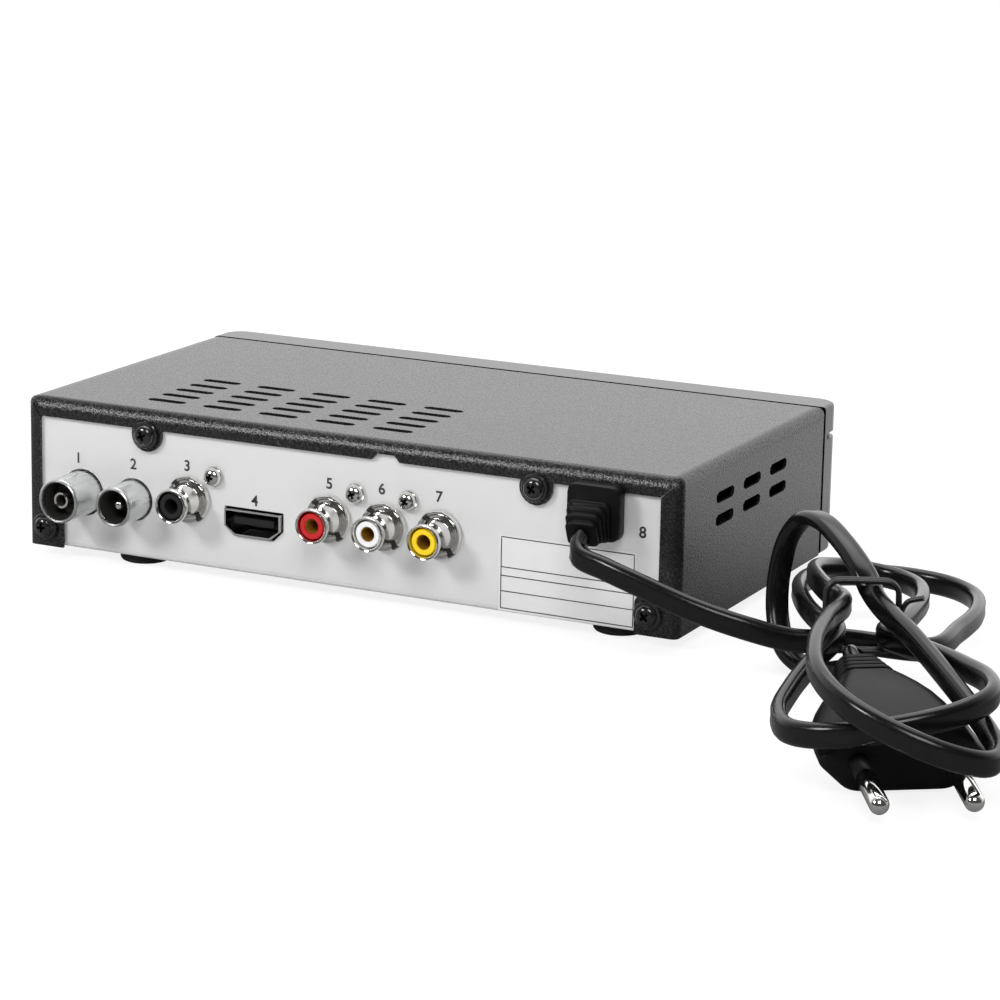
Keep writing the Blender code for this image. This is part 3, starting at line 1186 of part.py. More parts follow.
def loop_points(spec, leave, enter):
    """One loop of the hank, from its place in the waist out and back to the next place."""
    along = bearing(spec["bearing"])
    level = along.cross(UP)
    across, normal = (UP, level) if spec["standing"] else (level, UP)
    points = []
    for step in range(1, LOOP_STEPS):
        share = step / LOOP_STEPS
        reach = math.sin(math.pi * share)
        swing = math.sin(2 * math.pi * share)
        swing *= 1 - spec["bulge"] * math.cos(2 * math.pi * share)
        blend = share * share * (3 - 2 * share)
        side = leave[0] + (enter[0] - leave[0]) * blend
        rise = leave[1] + (enter[1] - leave[1]) * blend + spec["drop"] * reach ** 2
        point = WAIST + WAIST_ACROSS * side + UP * rise + along * spec["length"] * reach ** spec["power"]
        point += across * (spec["half"] * swing + spec["curl"] * reach ** 4)
        point += normal * spec["lean"] * spec["half"] * swing
        points.append((point, normal))
    return points


def cord_points():
    """Points and edge directions along the whole cord, from the strain relief to the plug."""
    chain = [(behind_cover(point), UP) for point in LEAD_ROUTE]
    for index, spec in enumerate(LOOPS):
        leave = WAIST_PLACES[index]
        if index:
            point = WAIST + WAIST_ACROSS * leave[0] + UP * leave[1]
            chain.append((point, chain[-1][1]))
        chain += loop_points(spec, leave, WAIST_PLACES[index + 1])
    chain += [(behind_cover(point), UP) for point in PLUG_ROUTE]
    return chain


def smooth_path(points, per):
    """A centripetal curve through the points, with some stations between each two."""
    ends = [2 * points[0] - points[1]] + points + [2 * points[-1] - points[-2]]
    path = []
    for index in range(1, len(ends) - 2):
        p0, p1, p2, p3 = ends[index - 1:index + 3]
        t1 = (p1 - p0).length ** 0.5
        t2 = t1 + (p2 - p1).length ** 0.5
        t3 = t2 + (p3 - p2).length ** 0.5
        for step in range(per):
            t = t1 + (t2 - t1) * step / per
            a1 = p0.lerp(p1, t / t1)
            a2 = p1.lerp(p2, (t - t1) / (t2 - t1))
            a3 = p2.lerp(p3, (t - t2) / (t3 - t2))
            b1 = a1.lerp(a2, t / t2)
            b2 = a2.lerp(a3, (t - t1) / (t3 - t1))
            path.append(b1.lerp(b2, (t - t1) / (t2 - t1)))
    path.append(points[-1].copy())
    return path


def edge_directions(normals, count):
    """Edge directions spread along the path and eased where one loop meets the next."""
    spread = []
    for index in range(count):
        at = index * (len(normals) - 1) / (count - 1)
        before = min(int(at), len(normals) - 2)
        spread.append(normals[before].lerp(normals[before + 1], at - before))
    for _ in range(EASING_PASSES):
        eased = [(a + 2 * b + c) / 4 for a, b, c in zip(spread, spread[1:], spread[2:])]
        spread = [spread[0]] + eased + [spread[-1]]
    return spread


def stations(points, normals, spacing):
    """Even stations along a cord: place, edge direction and thickness direction."""
    fine = smooth_path(points, FINE_STEPS)
    edges = edge_directions(normals, len(fine))
    reach = [0.0]
    for a, b in zip(fine, fine[1:]):
        reach.append(reach[-1] + (b - a).length)
    count = max(2, round(reach[-1] / spacing))
    made = []
    index = 0
    for step in range(count + 1):
        target = reach[-1] * step / count
        while index < len(fine) - 2 and reach[index + 1] < target:
            index += 1
        share = (target - reach[index]) / (reach[index + 1] - reach[index])
        tangent = (fine[min(index + 2, len(fine) - 1)] - fine[max(index - 1, 0)]).normalized()
        edge = edges[index].lerp(edges[index + 1], share)
        edge = (edge - tangent * edge.dot(tangent)).normalized()
        made.append((fine[index].lerp(fine[index + 1], share), edge, tangent.cross(edge)))
    return made


def flat_section(width, thickness):
    """Eight points round a flat twin cord."""
    tall = width / 2
    slim = thickness / 2
    inner = tall * FLAT_SHARE
    outer = slim * ROUND_SHARE
    return ((tall, outer), (inner, slim), (-inner, slim), (-tall, outer),
            (-tall, -outer), (-inner, -slim), (inner, -slim), (tall, -outer))


def loft(name, rings, material):
    """One closed skin through rings of equal count, capped at both ends."""
    bm = bmesh.new()
    rows = [[bm.verts.new(point) for point in ring] for ring in rings]
    for row, following in zip(rows, rows[1:]):
        for index in range(len(row)):
            other = (index + 1) % len(row)
            bm.faces.new((row[index], row[other], following[other], following[index]))
    bm.faces.new(rows[0][::-1])
    bm.faces.new(rows[-1])
    return place(bm, name, material)


def tube(name, run, section, material):
    """A section swept along a run of stations."""
    rings = [[at + edge * tall + thick * slim for tall, slim in section] for at, edge, thick in run]
    return loft(name, rings, material)


def least_gap(run):
    """Least clear distance between one stretch of cord and another, from circles across it."""
    offset = (CORD_WIDTH - CORD_THICKNESS) / 2
    spacing = (run[1][0] - run[0][0]).length
    apart = round(SAME_STRETCH / spacing)
    rows = [[at + edge * shift for shift in (-offset, 0.0, offset)] for at, edge, thick in run]
    least = REACH
    for index, row in enumerate(rows):
        for other in rows[index + apart:]:
            for a in row:
                for b in other:
                    least = min(least, (a - b).length - CORD_THICKNESS)
    return least


def cord():
    """The lead from the strain relief, then the tied hank as one unbroken run to the plug."""
    chain = cord_points()
    run = stations([point for point, normal in chain], [normal for point, normal in chain], CORD_STATION)
    section = flat_section(CORD_WIDTH, CORD_THICKNESS)
    split = next(i for i, (at, edge, thick) in enumerate(run) if at.x < LEAD_ROUTE[-2][0])
    lead = run[:split + 1]
    hank = run[split:]
    hank[0] = (hank[0][0] + (hank[1][0] - hank[0][0]).normalized() * SEAT, hank[0][1], hank[0][2])
    tube("mains_lead", lead, section, CORD_BLACK)
    tube("cord_hank", hank, section, CORD_BLACK)
    length = sum((b[0] - a[0]).length for a, b in zip(run, run[1:]))
    print(f"cord length {length * 1000:.0f} mm, least gap in the hank {least_gap(run) * 1000:.2f} mm")


def twist_tie():
    """A wire tie: one turn round the waist, its two tails left standing."""
    forward = bearing(WAIST_BEARING)
    middle = WAIST + WAIST_ACROSS * TIE_SIDE + UP * TIE_RISE
    points = tail_points(middle, forward, TIE_TAIL_START)
    for step in range(TIE_STEPS + 1):
        share = step / TIE_STEPS
        angle = math.radians(TIE_FROM + 360 * share)
        bow = (abs(math.cos(angle)) ** TIE_SQUARE + abs(math.sin(angle)) ** TIE_SQUARE) ** (-1 / TIE_SQUARE)
        around = WAIST_ACROSS * TIE_HALF_WIDTH * math.cos(angle) * bow
        around += UP * TIE_HALF_HEIGHT * math.sin(angle) * bow
        points.append(middle + around + forward * TIE_ADVANCE * (share - 0.5))
    points += tail_points(middle, forward, TIE_TAIL_END)
    run = stations(points, [forward] * len(points), TIE_STATION)
    section = [(TIE_WIRE / 2 * a, TIE_WIRE / 2 * b) for a, b in arc((0, 0), 1.0, 0, 300, 5)]
    tube("twist_tie", run, section, BLACK_PLASTIC)


def tail_points(middle, forward, tail):
    """Where one tail of the tie runs."""
    return [middle + WAIST_ACROSS * side + UP * rise + forward * ahead for side, rise, ahead in tail]


def square_ring(at, sideways, upright, size, corner):
    """A square with round corners, across a direction."""
    return [at + sideways * a + upright * b for a, b in rounded(size, size, corner, CORNER_STEPS)]


def strain_relief():
    """Gland in the panel: inner lug, neck, square block and a drooping ribbed boot."""
    x_axis = Vector((1.0, 0.0, 0.0))
    base = Vector((STRAIN_X, 0.0, UNDERSIDE + STRAIN_Z))
    rear = REAR_FACE + SEAT
    front = PANEL_BACK - SEAT
    outer = rear + STRAIN_BLOCK_DEPTH
    rise = STRAIN_BLOCK_RISE
    steps = ((front - STRAIN_INNER, STRAIN_LUG, 0), (front, STRAIN_LUG, 0), (front, STRAIN_NECK, 0))
    steps += ((rear, STRAIN_NECK, 0), (rear, STRAIN_BLOCK, rise))
    steps += ((outer - STRAIN_NECK_CORNER, STRAIN_BLOCK, rise), (outer, STRAIN_SHOULDER, rise / 2))
    rings = []
    for y, size, lift in steps:
        rings.append(square_ring(base + Vector((0, y, lift)), x_axis, UP, size, STRAIN_NECK_CORNER))
    at = base + Vector((0, outer, 0))
    share_drop = (STRAIN_SHOULDER - STRAIN_NOSE) / (2 * STRAIN_RIBS)
    for rib in range(2 * STRAIN_RIBS):
        turn = (rib + 1) / (2 * STRAIN_RIBS)
        facing = boot_facing(turn)
        upright = (UP - facing * UP.dot(facing)).normalized()
        sideways = upright.cross(facing).normalized() * -1
        size = STRAIN_SHOULDER - share_drop * (rib + 1)
        slim = size - 2 * STRAIN_RIB_GAP
        first, second = (size, slim) if rib % 2 else (slim, size)
        rings.append(square_ring(at, sideways, upright, first, STRAIN_NECK_CORNER))
        at = at + facing * STRAIN_RIB_PITCH / 2
        rings.append(square_ring(at, sideways, upright, first, STRAIN_NECK_CORNER))
        if rib == 2 * STRAIN_RIBS - 1:
            rings[-1] = square_ring(at, sideways, upright, STRAIN_NOSE, STRAIN_NECK_CORNER)
    loft("strain_relief", rings, CORD_BLACK)


def boot_facing(turn):
    """The way the boot points, from straight back at its block to drooping at its nose."""
    droop = math.radians(STRAIN_DROOP * turn)
    sway = math.radians(STRAIN_SWAY * turn)
    level = Vector((-math.sin(sway), math.cos(sway), 0.0))
    return level * math.cos(droop) - UP * math.sin(droop)


def inner_lead():
    """The cord inside the box, from the gland over to the mains connector."""
    rear = power_board_edges()[2] - 2 * BOARD_THICKNESS
    down = rear - CONNECTOR_DEPTH / 2
    height = UNDERSIDE + STRAIN_Z
    top = BOARD_FACE + CONNECTOR_HEIGHT + 2 * SEAT
    start = PANEL_BACK - 2 * SEAT - STRAIN_INNER
    bend = CORD_WIDTH
    route = [(STRAIN_X, start, height), (STRAIN_X, down + bend, height)]
    route += [(STRAIN_X, y, z) for y, z in arc((down + bend, height - bend), bend, 120, 180, 2)]
    route.append((STRAIN_X, down, top))
    points = [Vector(point) for point in route]
    run = stations(points, [Vector((1.0, 0.0, 0.0))] * len(points), CORD_STATION / 2)
    tube("inner_lead", run, flat_section(CORD_WIDTH, CORD_THICKNESS), CORD_BLACK)


def plug():
    """Flat two-pin plug: six-sided face, waisted body, ribbed tail and two round pins."""
    facing = bearing(PLUG_TURN)
    sideways = facing.cross(UP)
    tip = math.radians(PLUG_NOSE_DOWN)
    forward = facing * math.cos(tip) - UP * math.sin(tip)
    upright = facing * math.sin(tip) + UP * math.cos(tip)
    face = behind_cover((PLUG_X, PLUG_BEHIND, PLUG_Z))
    rings = []
    for back, width, flat, height in PLUG_SECTIONS:
        at = face - forward * back
        outline = ((width / 2, 0.0), (flat / 2, height / 2), (-flat / 2, height / 2),
                   (-width / 2, 0.0), (-flat / 2, -height / 2), (flat / 2, -height / 2))
        rings.append([at + sideways * a + upright * b for a, b in outline])
    body = loft("plug_body", rings, BLACK_PLASTIC)
    turn = Matrix((sideways, -upright, forward)).transposed().to_euler()
    for name, sign in (("left", 1), ("right", -1)):
        base = face + sideways * sign * PIN_SPACING / 2
        radius = PIN_DIAMETER / 2
        drill(body, f"pin_{name}_socket", PIN_DIAMETER + 2 * SEAT, base, 2 * PIN_ROOT, turn, PIN_STEPS)
        bottom = SEAT - PIN_ROOT
        profile = [(0.0, PIN_LENGTH)]
        profile += [(radius * math.sin(angle), PIN_LENGTH - radius * (1 - math.cos(angle)))
                    for angle in (math.radians(30), math.radians(60), math.radians(90))]
        profile += [(radius, bottom), (0.0, bottom)]
        turned(f"plug_pin_{name}", profile, base, turn, NICKEL, PIN_STEPS)


top_cover()
base_tray()
front_fascia()
window_and_keys()
feet()
screws()
aerial_sockets()
phono_sockets()
digital_socket()
boards()
inner_leads()
strain_relief()
inner_lead()
cord()
twist_tie()
plug()
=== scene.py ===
"""Looks of the set-top receiver: finer sockets, cord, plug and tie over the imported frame."""
import math

import bmesh
import bpy
from mathutils import Matrix, Vector


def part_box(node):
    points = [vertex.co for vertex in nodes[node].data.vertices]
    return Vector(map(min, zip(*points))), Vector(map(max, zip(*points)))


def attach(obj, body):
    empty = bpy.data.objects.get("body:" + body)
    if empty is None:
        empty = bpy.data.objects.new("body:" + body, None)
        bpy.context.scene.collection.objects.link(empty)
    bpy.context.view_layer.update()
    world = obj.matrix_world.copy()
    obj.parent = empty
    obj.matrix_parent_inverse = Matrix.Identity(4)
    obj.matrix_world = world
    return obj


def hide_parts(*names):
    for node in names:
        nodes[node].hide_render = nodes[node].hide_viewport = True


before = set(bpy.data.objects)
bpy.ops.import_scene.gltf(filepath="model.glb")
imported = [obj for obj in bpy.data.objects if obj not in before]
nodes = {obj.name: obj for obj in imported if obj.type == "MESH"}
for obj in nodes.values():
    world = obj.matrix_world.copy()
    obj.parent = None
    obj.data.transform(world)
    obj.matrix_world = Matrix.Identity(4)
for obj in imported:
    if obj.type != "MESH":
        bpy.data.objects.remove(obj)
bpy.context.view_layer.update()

BODY = "chassis"
UP = Vector((0.0, 0.0, 1.0))

# Faces of the box, as in the part
UNDERSIDE = 0.0025
REAR_FACE = 0.04235
PANEL_FACE = REAR_FACE - 0.0011
SOCKET_BACK = REAR_FACE - 0.0022

# Camera solved from the photograph
CAMERA_PLACE = (-0.3815, 0.73925, 0.2190)
CAMERA_YAW = 26.040
CAMERA_PITCH = 13.767
CAMERA_ROLL = 1.099
CAMERA_LENS = 128.1
CAMERA_SENSOR = 36.0
CAMERA_FAR = 20.0


def camera():
    """The photograph's camera."""
    data = bpy.data.cameras.new("photo_camera")
    data.sensor_width = CAMERA_SENSOR
    data.lens = CAMERA_LENS
    data.clip_end = CAMERA_FAR
    made = bpy.data.objects.new("photo_camera", data)
    bpy.context.scene.collection.objects.link(made)
    facing = Matrix.Rotation(math.radians(180 + CAMERA_YAW), 4, "Z")
    tilt = Matrix.Rotation(math.radians(90 - CAMERA_PITCH), 4, "X")
    roll = Matrix.Rotation(math.radians(CAMERA_ROLL), 4, "Z")
    made.matrix_world = Matrix.Translation(CAMERA_PLACE) @ facing @ tilt @ roll
    bpy.context.scene.camera = made


# How the grain of a finish is spread: broad noise under fine noise, and the ramp's places
BROAD_GRAIN = 14.0
BROAD_DETAIL = 2.0
BROAD_SHARE = 0.35
NOISE_RANGE = (0.25, 0.75)
RAMP_PLACES = (0.35, 0.62, 0.85)
FLECK_PLACE = 0.93


def coordinates(tree, scale):
    """Object coordinates, stretched by a scale for each axis."""
    source = tree.nodes.new("ShaderNodeTexCoord")
    mapping = tree.nodes.new("ShaderNodeMapping")
    mapping.inputs["Scale"].default_value = scale
    tree.links.new(source.outputs["Object"], mapping.inputs["Vector"])
    return mapping.outputs["Vector"]


def noise(tree, vector, scale, detail=3.0, rough=0.55):
    """Noise at a scale, as a value."""
    made = tree.nodes.new("ShaderNodeTexNoise")
    made.inputs["Scale"].default_value = scale
    made.inputs["Detail"].default_value = detail
    made.inputs["Roughness"].default_value = rough
    tree.links.new(vector, made.inputs["Vector"])
    return made.outputs["Fac"]


def ramp(tree, value, stops):
    """A colour ramp with given places and colours."""
    made = tree.nodes.new("ShaderNodeValToRGB")
    elements = made.color_ramp.elements
    while len(elements) < len(stops):
        elements.new(0.5)
    for element, (place, colour) in zip(elements, stops):
        element.position = place
        element.color = (*colour, 1.0)
    tree.links.new(value, made.inputs["Fac"])
    return made.outputs["Color"]


def levels(tree, value, seen, given):
    """A value mapped from one range to another, without going past its ends."""
    made = tree.nodes.new("ShaderNodeMapRange")
    made.inputs["From Min"].default_value = seen[0]
    made.inputs["From Max"].default_value = seen[1]
    made.inputs["To Min"].default_value = given[0]
    made.inputs["To Max"].default_value = given[1]
    tree.links.new(value, made.inputs["Value"])
    return made


def scalar_math(tree, operation, first, second):
    """One operation on a socket, with a constant or a second socket."""
    made = tree.nodes.new("ShaderNodeMath")
    made.operation = operation
    tree.links.new(first, made.inputs[0])
    if isinstance(second, float):
        made.inputs[1].default_value = second
    else:
        tree.links.new(second, made.inputs[1])
    return made.outputs["Value"]


def vector_math(tree, operation, first, second=None):
    """One vector operation on a socket, with a constant or a second socket."""
    made = tree.nodes.new("ShaderNodeVectorMath")
    made.operation = operation
    tree.links.new(first, made.inputs[0])
    if isinstance(second, tuple):
        made.inputs[1].default_value = second
    elif second:
        tree.links.new(second, made.inputs[1])
    return made.outputs["Value" if operation == "DOT_PRODUCT" else "Vector"]


def spread(tree, value, low, high):
    """Noise mapped to a range of values."""
    return levels(tree, value, NOISE_RANGE, (low, high)).outputs["Result"]


def tint(colour, factor):
    """A colour made darker or lighter."""
    return tuple(min(1.0, part * factor) for part in colour)


# Rounding of the cover's bends in its shading
BEND_RADIUS = 0.0030
BEND_REACH = 0.5
BEND_MATCH = 0.5


def round_bends(tree, node, radius):
    """A normal that rounds a cover's top, rear and side bends and leaves its cut edges as they are."""
    low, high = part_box(node)
    centre = ((low[0] + high[0]) / 2, high[1] - BEND_REACH, high[2] - BEND_REACH)
    flat = ((high[0] - low[0]) / 2 - radius, BEND_REACH - radius, BEND_REACH - radius)
    spot = tree.nodes.new("ShaderNodeNewGeometry")
    offset = vector_math(tree, "SUBTRACT", spot.outputs["Position"], centre)
    past = vector_math(tree, "SUBTRACT", vector_math(tree, "ABSOLUTE", offset), flat)
    past = vector_math(tree, "MAXIMUM", past, (0.0, 0.0, 0.0))
    outward = vector_math(tree, "MULTIPLY", past, vector_math(tree, "SIGN", offset))
    outward = vector_math(tree, "NORMALIZE", outward)
    match = vector_math(tree, "DOT_PRODUCT", outward, spot.outputs["Normal"])
    chosen = tree.nodes.new("ShaderNodeMix")
    chosen.data_type = "VECTOR"
    tree.links.new(scalar_math(tree, "GREATER_THAN", match, BEND_MATCH), chosen.inputs["Factor"])
    tree.links.new(spot.outputs["Normal"], chosen.inputs["A"])
    tree.links.new(outward, chosen.inputs["B"])
    return chosen.outputs["Result"]


def surface(name, colour, rough, metallic=0.0, grain=800.0, vary=0.12, rough_vary=0.08, bump=0.0,
            depth=0.0001, stretch=(1.0, 1.0, 1.0), coat=0.0, coat_rough=0.1, specular=0.5, fleck=None,
            sparkle=0.0, bends=None):
    """A procedural finish: grain in colour, roughness and height, with a clear coat or flecks if asked."""
    made = bpy.data.materials.new(name)
    made.use_nodes = True
    tree = made.node_tree
    shader = tree.nodes["Principled BSDF"]
    vector = coordinates(tree, stretch)
    fine = noise(tree, vector, grain)
    broad = noise(tree, vector, grain / BROAD_GRAIN, BROAD_DETAIL)
    mixed = tree.nodes.new("ShaderNodeMath")
    mixed.operation = "MULTIPLY_ADD"
    mixed.inputs[1].default_value = BROAD_SHARE
    tree.links.new(broad, mixed.inputs[0])
    tree.links.new(fine, mixed.inputs[2])
    stops = list(zip(RAMP_PLACES, (tint(colour, 1 - vary), colour, tint(colour, 1 + vary))))
    if fleck:
        stops.append((FLECK_PLACE, fleck))
    tree.links.new(ramp(tree, mixed.outputs["Value"], stops), shader.inputs["Base Color"])
    tree.links.new(spread(tree, fine, rough - rough_vary, rough + rough_vary), shader.inputs["Roughness"])
    shader.inputs["Metallic"].default_value = metallic
    shader.inputs["Specular IOR Level"].default_value = specular
    if sparkle:
        glint = spread(tree, fine, specular * (1 - sparkle), specular * (1 + sparkle))
        tree.links.new(glint, shader.inputs["Specular IOR Level"])
    shader.inputs["Coat Weight"].default_value = coat
    shader.inputs["Coat Roughness"].default_value = coat_rough
    if bump:
        raised = tree.nodes.new("ShaderNodeBump")
        raised.inputs["Strength"].default_value = bump
        raised.inputs["Distance"].default_value = depth
        tree.links.new(fine, raised.inputs["Height"])
        if bends:
            tree.links.new(round_bends(tree, bends, BEND_RADIUS), raised.inputs["Normal"])
        tree.links.new(raised.outputs["Normal"], shader.inputs["Normal"])
    return made


CHARCOAL = surface("charcoal_textured_paint", (0.012, 0.012, 0.013), rough=0.26, grain=1800, vary=0.30,
                   rough_vary=0.10, bump=1.0, depth=0.00012, fleck=(0.05, 0.05, 0.05), sparkle=0.9,
                   bends="top_cover")
PANEL = surface("grey_panel_paint", (0.66, 0.66, 0.66), rough=0.42, grain=2400, vary=0.02,
                rough_vary=0.04, bump=0.06, depth=0.00004)
FASCIA = surface("grey_fascia_plastic", (0.085, 0.085, 0.086), rough=0.30, grain=2600, vary=0.06,
                 rough_vary=0.05, bump=0.10, depth=0.00005)
WINDOW = surface("dark_acrylic", (0.004, 0.003, 0.005), rough=0.08, grain=500, vary=0.20,
                 rough_vary=0.03, specular=0.16)
KEYS = surface("key_plastic", (0.030, 0.030, 0.031), rough=0.38, grain=2600, vary=0.08, rough_vary=0.05,
               bump=0.10, depth=0.00004)
RUBBER = surface("black_rubber", (0.010, 0.010, 0.010), rough=0.72, grain=1800, vary=0.25,
                 rough_vary=0.10, bump=0.30, depth=0.00008)
BLACK_STEEL = surface("black_screw", (0.012, 0.012, 0.012), rough=0.17, grain=900, vary=0.25,
                      rough_vary=0.04, coat=0.5)
ZINC = surface("zinc_screw", (0.80, 0.79, 0.77), rough=0.16, metallic=1.0, grain=1400, vary=0.08,
               rough_vary=0.06, bump=0.04, depth=0.00003)
NICKEL = surface("bright_nickel", (0.82, 0.81, 0.79), rough=0.09, metallic=1.0, grain=1200, vary=0.05,
                 rough_vary=0.04, bump=0.02, depth=0.00002)
SATIN_NICKEL = surface("satin_nickel", (0.74, 0.75, 0.75), rough=0.30, metallic=1.0, grain=900,
                       vary=0.06, rough_vary=0.06, bump=0.03, depth=0.00002, stretch=(1.0, 0.05, 1.0))
GILT = surface("gilt_contact", (0.46, 0.25, 0.03), rough=0.35, metallic=0.5, grain=1400, vary=0.08,
               rough_vary=0.06)
TIN = surface("tin_plate", (0.58, 0.59, 0.60), rough=0.32, metallic=1.0, grain=700, vary=0.10,
              rough_vary=0.08)
RED = surface("red_insert", (0.52, 0.008, 0.012), rough=0.30, grain=2200, vary=0.05, rough_vary=0.04,
              coat=0.2)
WHITE = surface("white_insert", (0.82, 0.82, 0.82), rough=0.30, grain=2200, vary=0.03, rough_vary=0.04,
                coat=0.2)
YELLOW = surface("yellow_insert", (0.90, 0.62, 0.004), rough=0.30, grain=2200, vary=0.05,
                 rough_vary=0.04, coat=0.2)
BLACK = surface("black_moulding", (0.010, 0.010, 0.011), rough=0.38, grain=2200, vary=0.15,
                rough_vary=0.06, bump=0.12, depth=0.00004)
# Painted shade for the screws' cross recesses: darker and less reflective than the screws
RECESS_PAINTED_SHADE = surface("cross_recess_painted_shade", (0.003, 0.003, 0.003), rough=0.50, grain=1600, vary=0.20,
                 rough_vary=0.08, specular=0.1)
# Painted shade: a near-black finish for slots, splits, bores and the insides of tubes and wells, where
# shade falls
WELL = surface("painted_shade_well", (0.022, 0.021, 0.018), rough=0.50, grain=1600, vary=0.20, rough_vary=0.08)
PLUG_BLACK = surface("plug_moulding", (0.007, 0.007, 0.007), rough=0.36, grain=2600, vary=0.18,
                     rough_vary=0.06, bump=0.14, depth=0.00005, specular=0.10)
GREEN = surface("circuit_board", (0.02, 0.13, 0.05), rough=0.45, grain=900, vary=0.20, rough_vary=0.08)
ALUMINIUM = surface("aluminium", (0.70, 0.71, 0.72), rough=0.34, metallic=1.0, grain=900, vary=0.08,
                    rough_vary=0.08, bump=0.05, depth=0.00003, stretch=(1.0, 0.05, 1.0))
TAPE = surface("yellow_tape", (0.65, 0.48, 0.07), rough=0.40, grain=900, vary=0.10, rough_vary=0.06)
CORD = surface("glossy_cord", (0.005, 0.005, 0.005), rough=0.22, grain=900, vary=0.20, rough_vary=0.04,
               specular=0.36)
INK = surface("dark_ink", (0.030, 0.030, 0.032), rough=0.55, grain=3000, vary=0.15, rough_vary=0.05)
LABEL = surface("label_paper", (0.72, 0.72, 0.72), rough=0.50, grain=2600, vary=0.02, rough_vary=0.04,
                bump=0.04, depth=0.00003)
DATA_SHELL = surface("data_socket_shell", (0.74, 0.75, 0.75), rough=0.28, metallic=1.0, grain=900,
                     vary=0.06, rough_vary=0.06)

# Painted shade in narrow gaps: the faces lining them are darkened and reflect less
GAP_SHADE = 0.0005
SOCKET_RIM = 0.0006
FASCIA_GAP = 0.0009
GAP_PAINTED_SHADE = (0.001, 0.001, 0.001, 1.0)
GAP_GLEAM = 0.5


def shade_gap(material, start, depth):
    """Paint shade on a finish where its faces line a narrow gap, from start on towards the gap: darker
    colour and less reflection.
    """
    tree = material.node_tree
    shader = tree.nodes["Principled BSDF"]
    spot = tree.nodes.new("ShaderNodeNewGeometry")
    axes = tree.nodes.new("ShaderNodeSeparateXYZ")
    tree.links.new(spot.outputs["Position"], axes.inputs["Vector"])
    lit = levels(tree, axes.outputs["Y"], (start, start - depth), (0.0, 1.0)).outputs["Result"]
    darkened = tree.nodes.new("ShaderNodeMix")
    darkened.data_type = "RGBA"
    darkened.inputs["A"].default_value = GAP_PAINTED_SHADE
    colour = shader.inputs["Base Color"].links[0].from_socket
    tree.links.new(lit, darkened.inputs["Factor"])
    tree.links.new(colour, darkened.inputs["B"])
    tree.links.new(darkened.outputs["Result"], shader.inputs["Base Color"])
    gleam = scalar_math(tree, "MULTIPLY", lit, GAP_GLEAM)
    tree.links.new(gleam, shader.inputs["Specular IOR Level"])


# Painted shade inside the data socket behind its rim, and on the fascia in the gap between it and the cover
shade_gap(DATA_SHELL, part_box("data_socket")[0][1] + 2 * SOCKET_RIM, SOCKET_RIM)
shade_gap(FASCIA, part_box("top_cover")[0][1] - FASCIA_GAP - GAP_SHADE / 2, GAP_SHADE / 2)

FINISHES = {
    "top_cover": CHARCOAL, "base_tray": PANEL, "front_fascia": FASCIA, "display_window": WINDOW,
    "standby_key": KEYS, "channel_down_key": KEYS, "channel_up_key": KEYS,
    "tuner_can": TIN, "coax_housing": BLACK, "av_housing": BLACK,
    "digital_shell": NICKEL, "digital_tongue": BLACK, "data_socket": DATA_SHELL,
    "main_board": GREEN, "power_board": GREEN, "front_board": GREEN,
    "decoder_chip": BLACK, "heatsink": ALUMINIUM, "transformer": TAPE,
    "mains_connector": WHITE, "mains_capacitor": BLACK, "output_capacitor": BLACK,
    "led_display": BLACK, "remote_receiver": BLACK,
    "standby_switch": BLACK, "channel_down_switch": BLACK, "channel_up_switch": BLACK,
    "ribbon_lead": WHITE, "supply_lead": BLACK, "inner_lead": CORD,
}


def dress_frame():
    """Give the frame's own nodes their finishes."""
    for name, finish in FINISHES.items():
        mesh = nodes[name].data
        mesh.materials.clear()
        mesh.materials.append(finish)


def piece(bm, name, material, stands_for=(), angle=35.0):
    """A named object on the chassis, smooth except at sharp edges, in place of the named nodes."""
    bmesh.ops.recalc_face_normals(bm, faces=bm.faces[:])
    mesh = bpy.data.meshes.new(name)
    bm.to_mesh(mesh)
    bm.free()
    for finish in material if isinstance(material, (list, tuple)) else [material]:
        mesh.materials.append(finish)
    mesh.shade_smooth()
    mesh.set_sharp_from_angle(angle=math.radians(angle))
    made = bpy.data.objects.new(name, mesh)
    bpy.context.scene.collection.objects.link(made)
    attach(made, BODY)
    if stands_for:
        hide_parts(*stands_for)
    return made


def lathe(bm, profile, place, turn, steps, closed=False, index=0):
    """A turned skin: (radius, height) points about the local Z axis, with a material index."""
    rows = []
    for radius, height in profile:
        if radius < 1e-7:
            rows.append([bm.verts.new(place @ (turn @ Vector((0, 0, height))))])
            continue
        row = []
        for step in range(steps):
            angle = 2 * math.pi * step / steps
            local = Vector((radius * math.cos(angle), radius * math.sin(angle), height))
            row.append(bm.verts.new(place @ (turn @ local)))
        rows.append(row)
    pairs = list(zip(rows, rows[1:]))
    if closed:
        pairs.append((rows[-1], rows[0]))
    for row, following in pairs:
        for step in range(steps):
            other = (step + 1) % steps
            if len(row) == 1 and len(following) > 1:
                corners = (row[0], following[other], following[step])
            elif len(following) == 1 and len(row) > 1:
                corners = (row[step], row[other], following[0])
            else:
                corners = (row[step], row[other], following[other], following[step])
            bm.faces.new(corners).material_index = index


REARWARD = Matrix.Rotation(math.radians(-90), 4, "X")


def at(x, height, y=0.0):
    """A place on the rear, by its height above the box's underside."""
    return Matrix.Translation((x, y, UNDERSIDE + height))


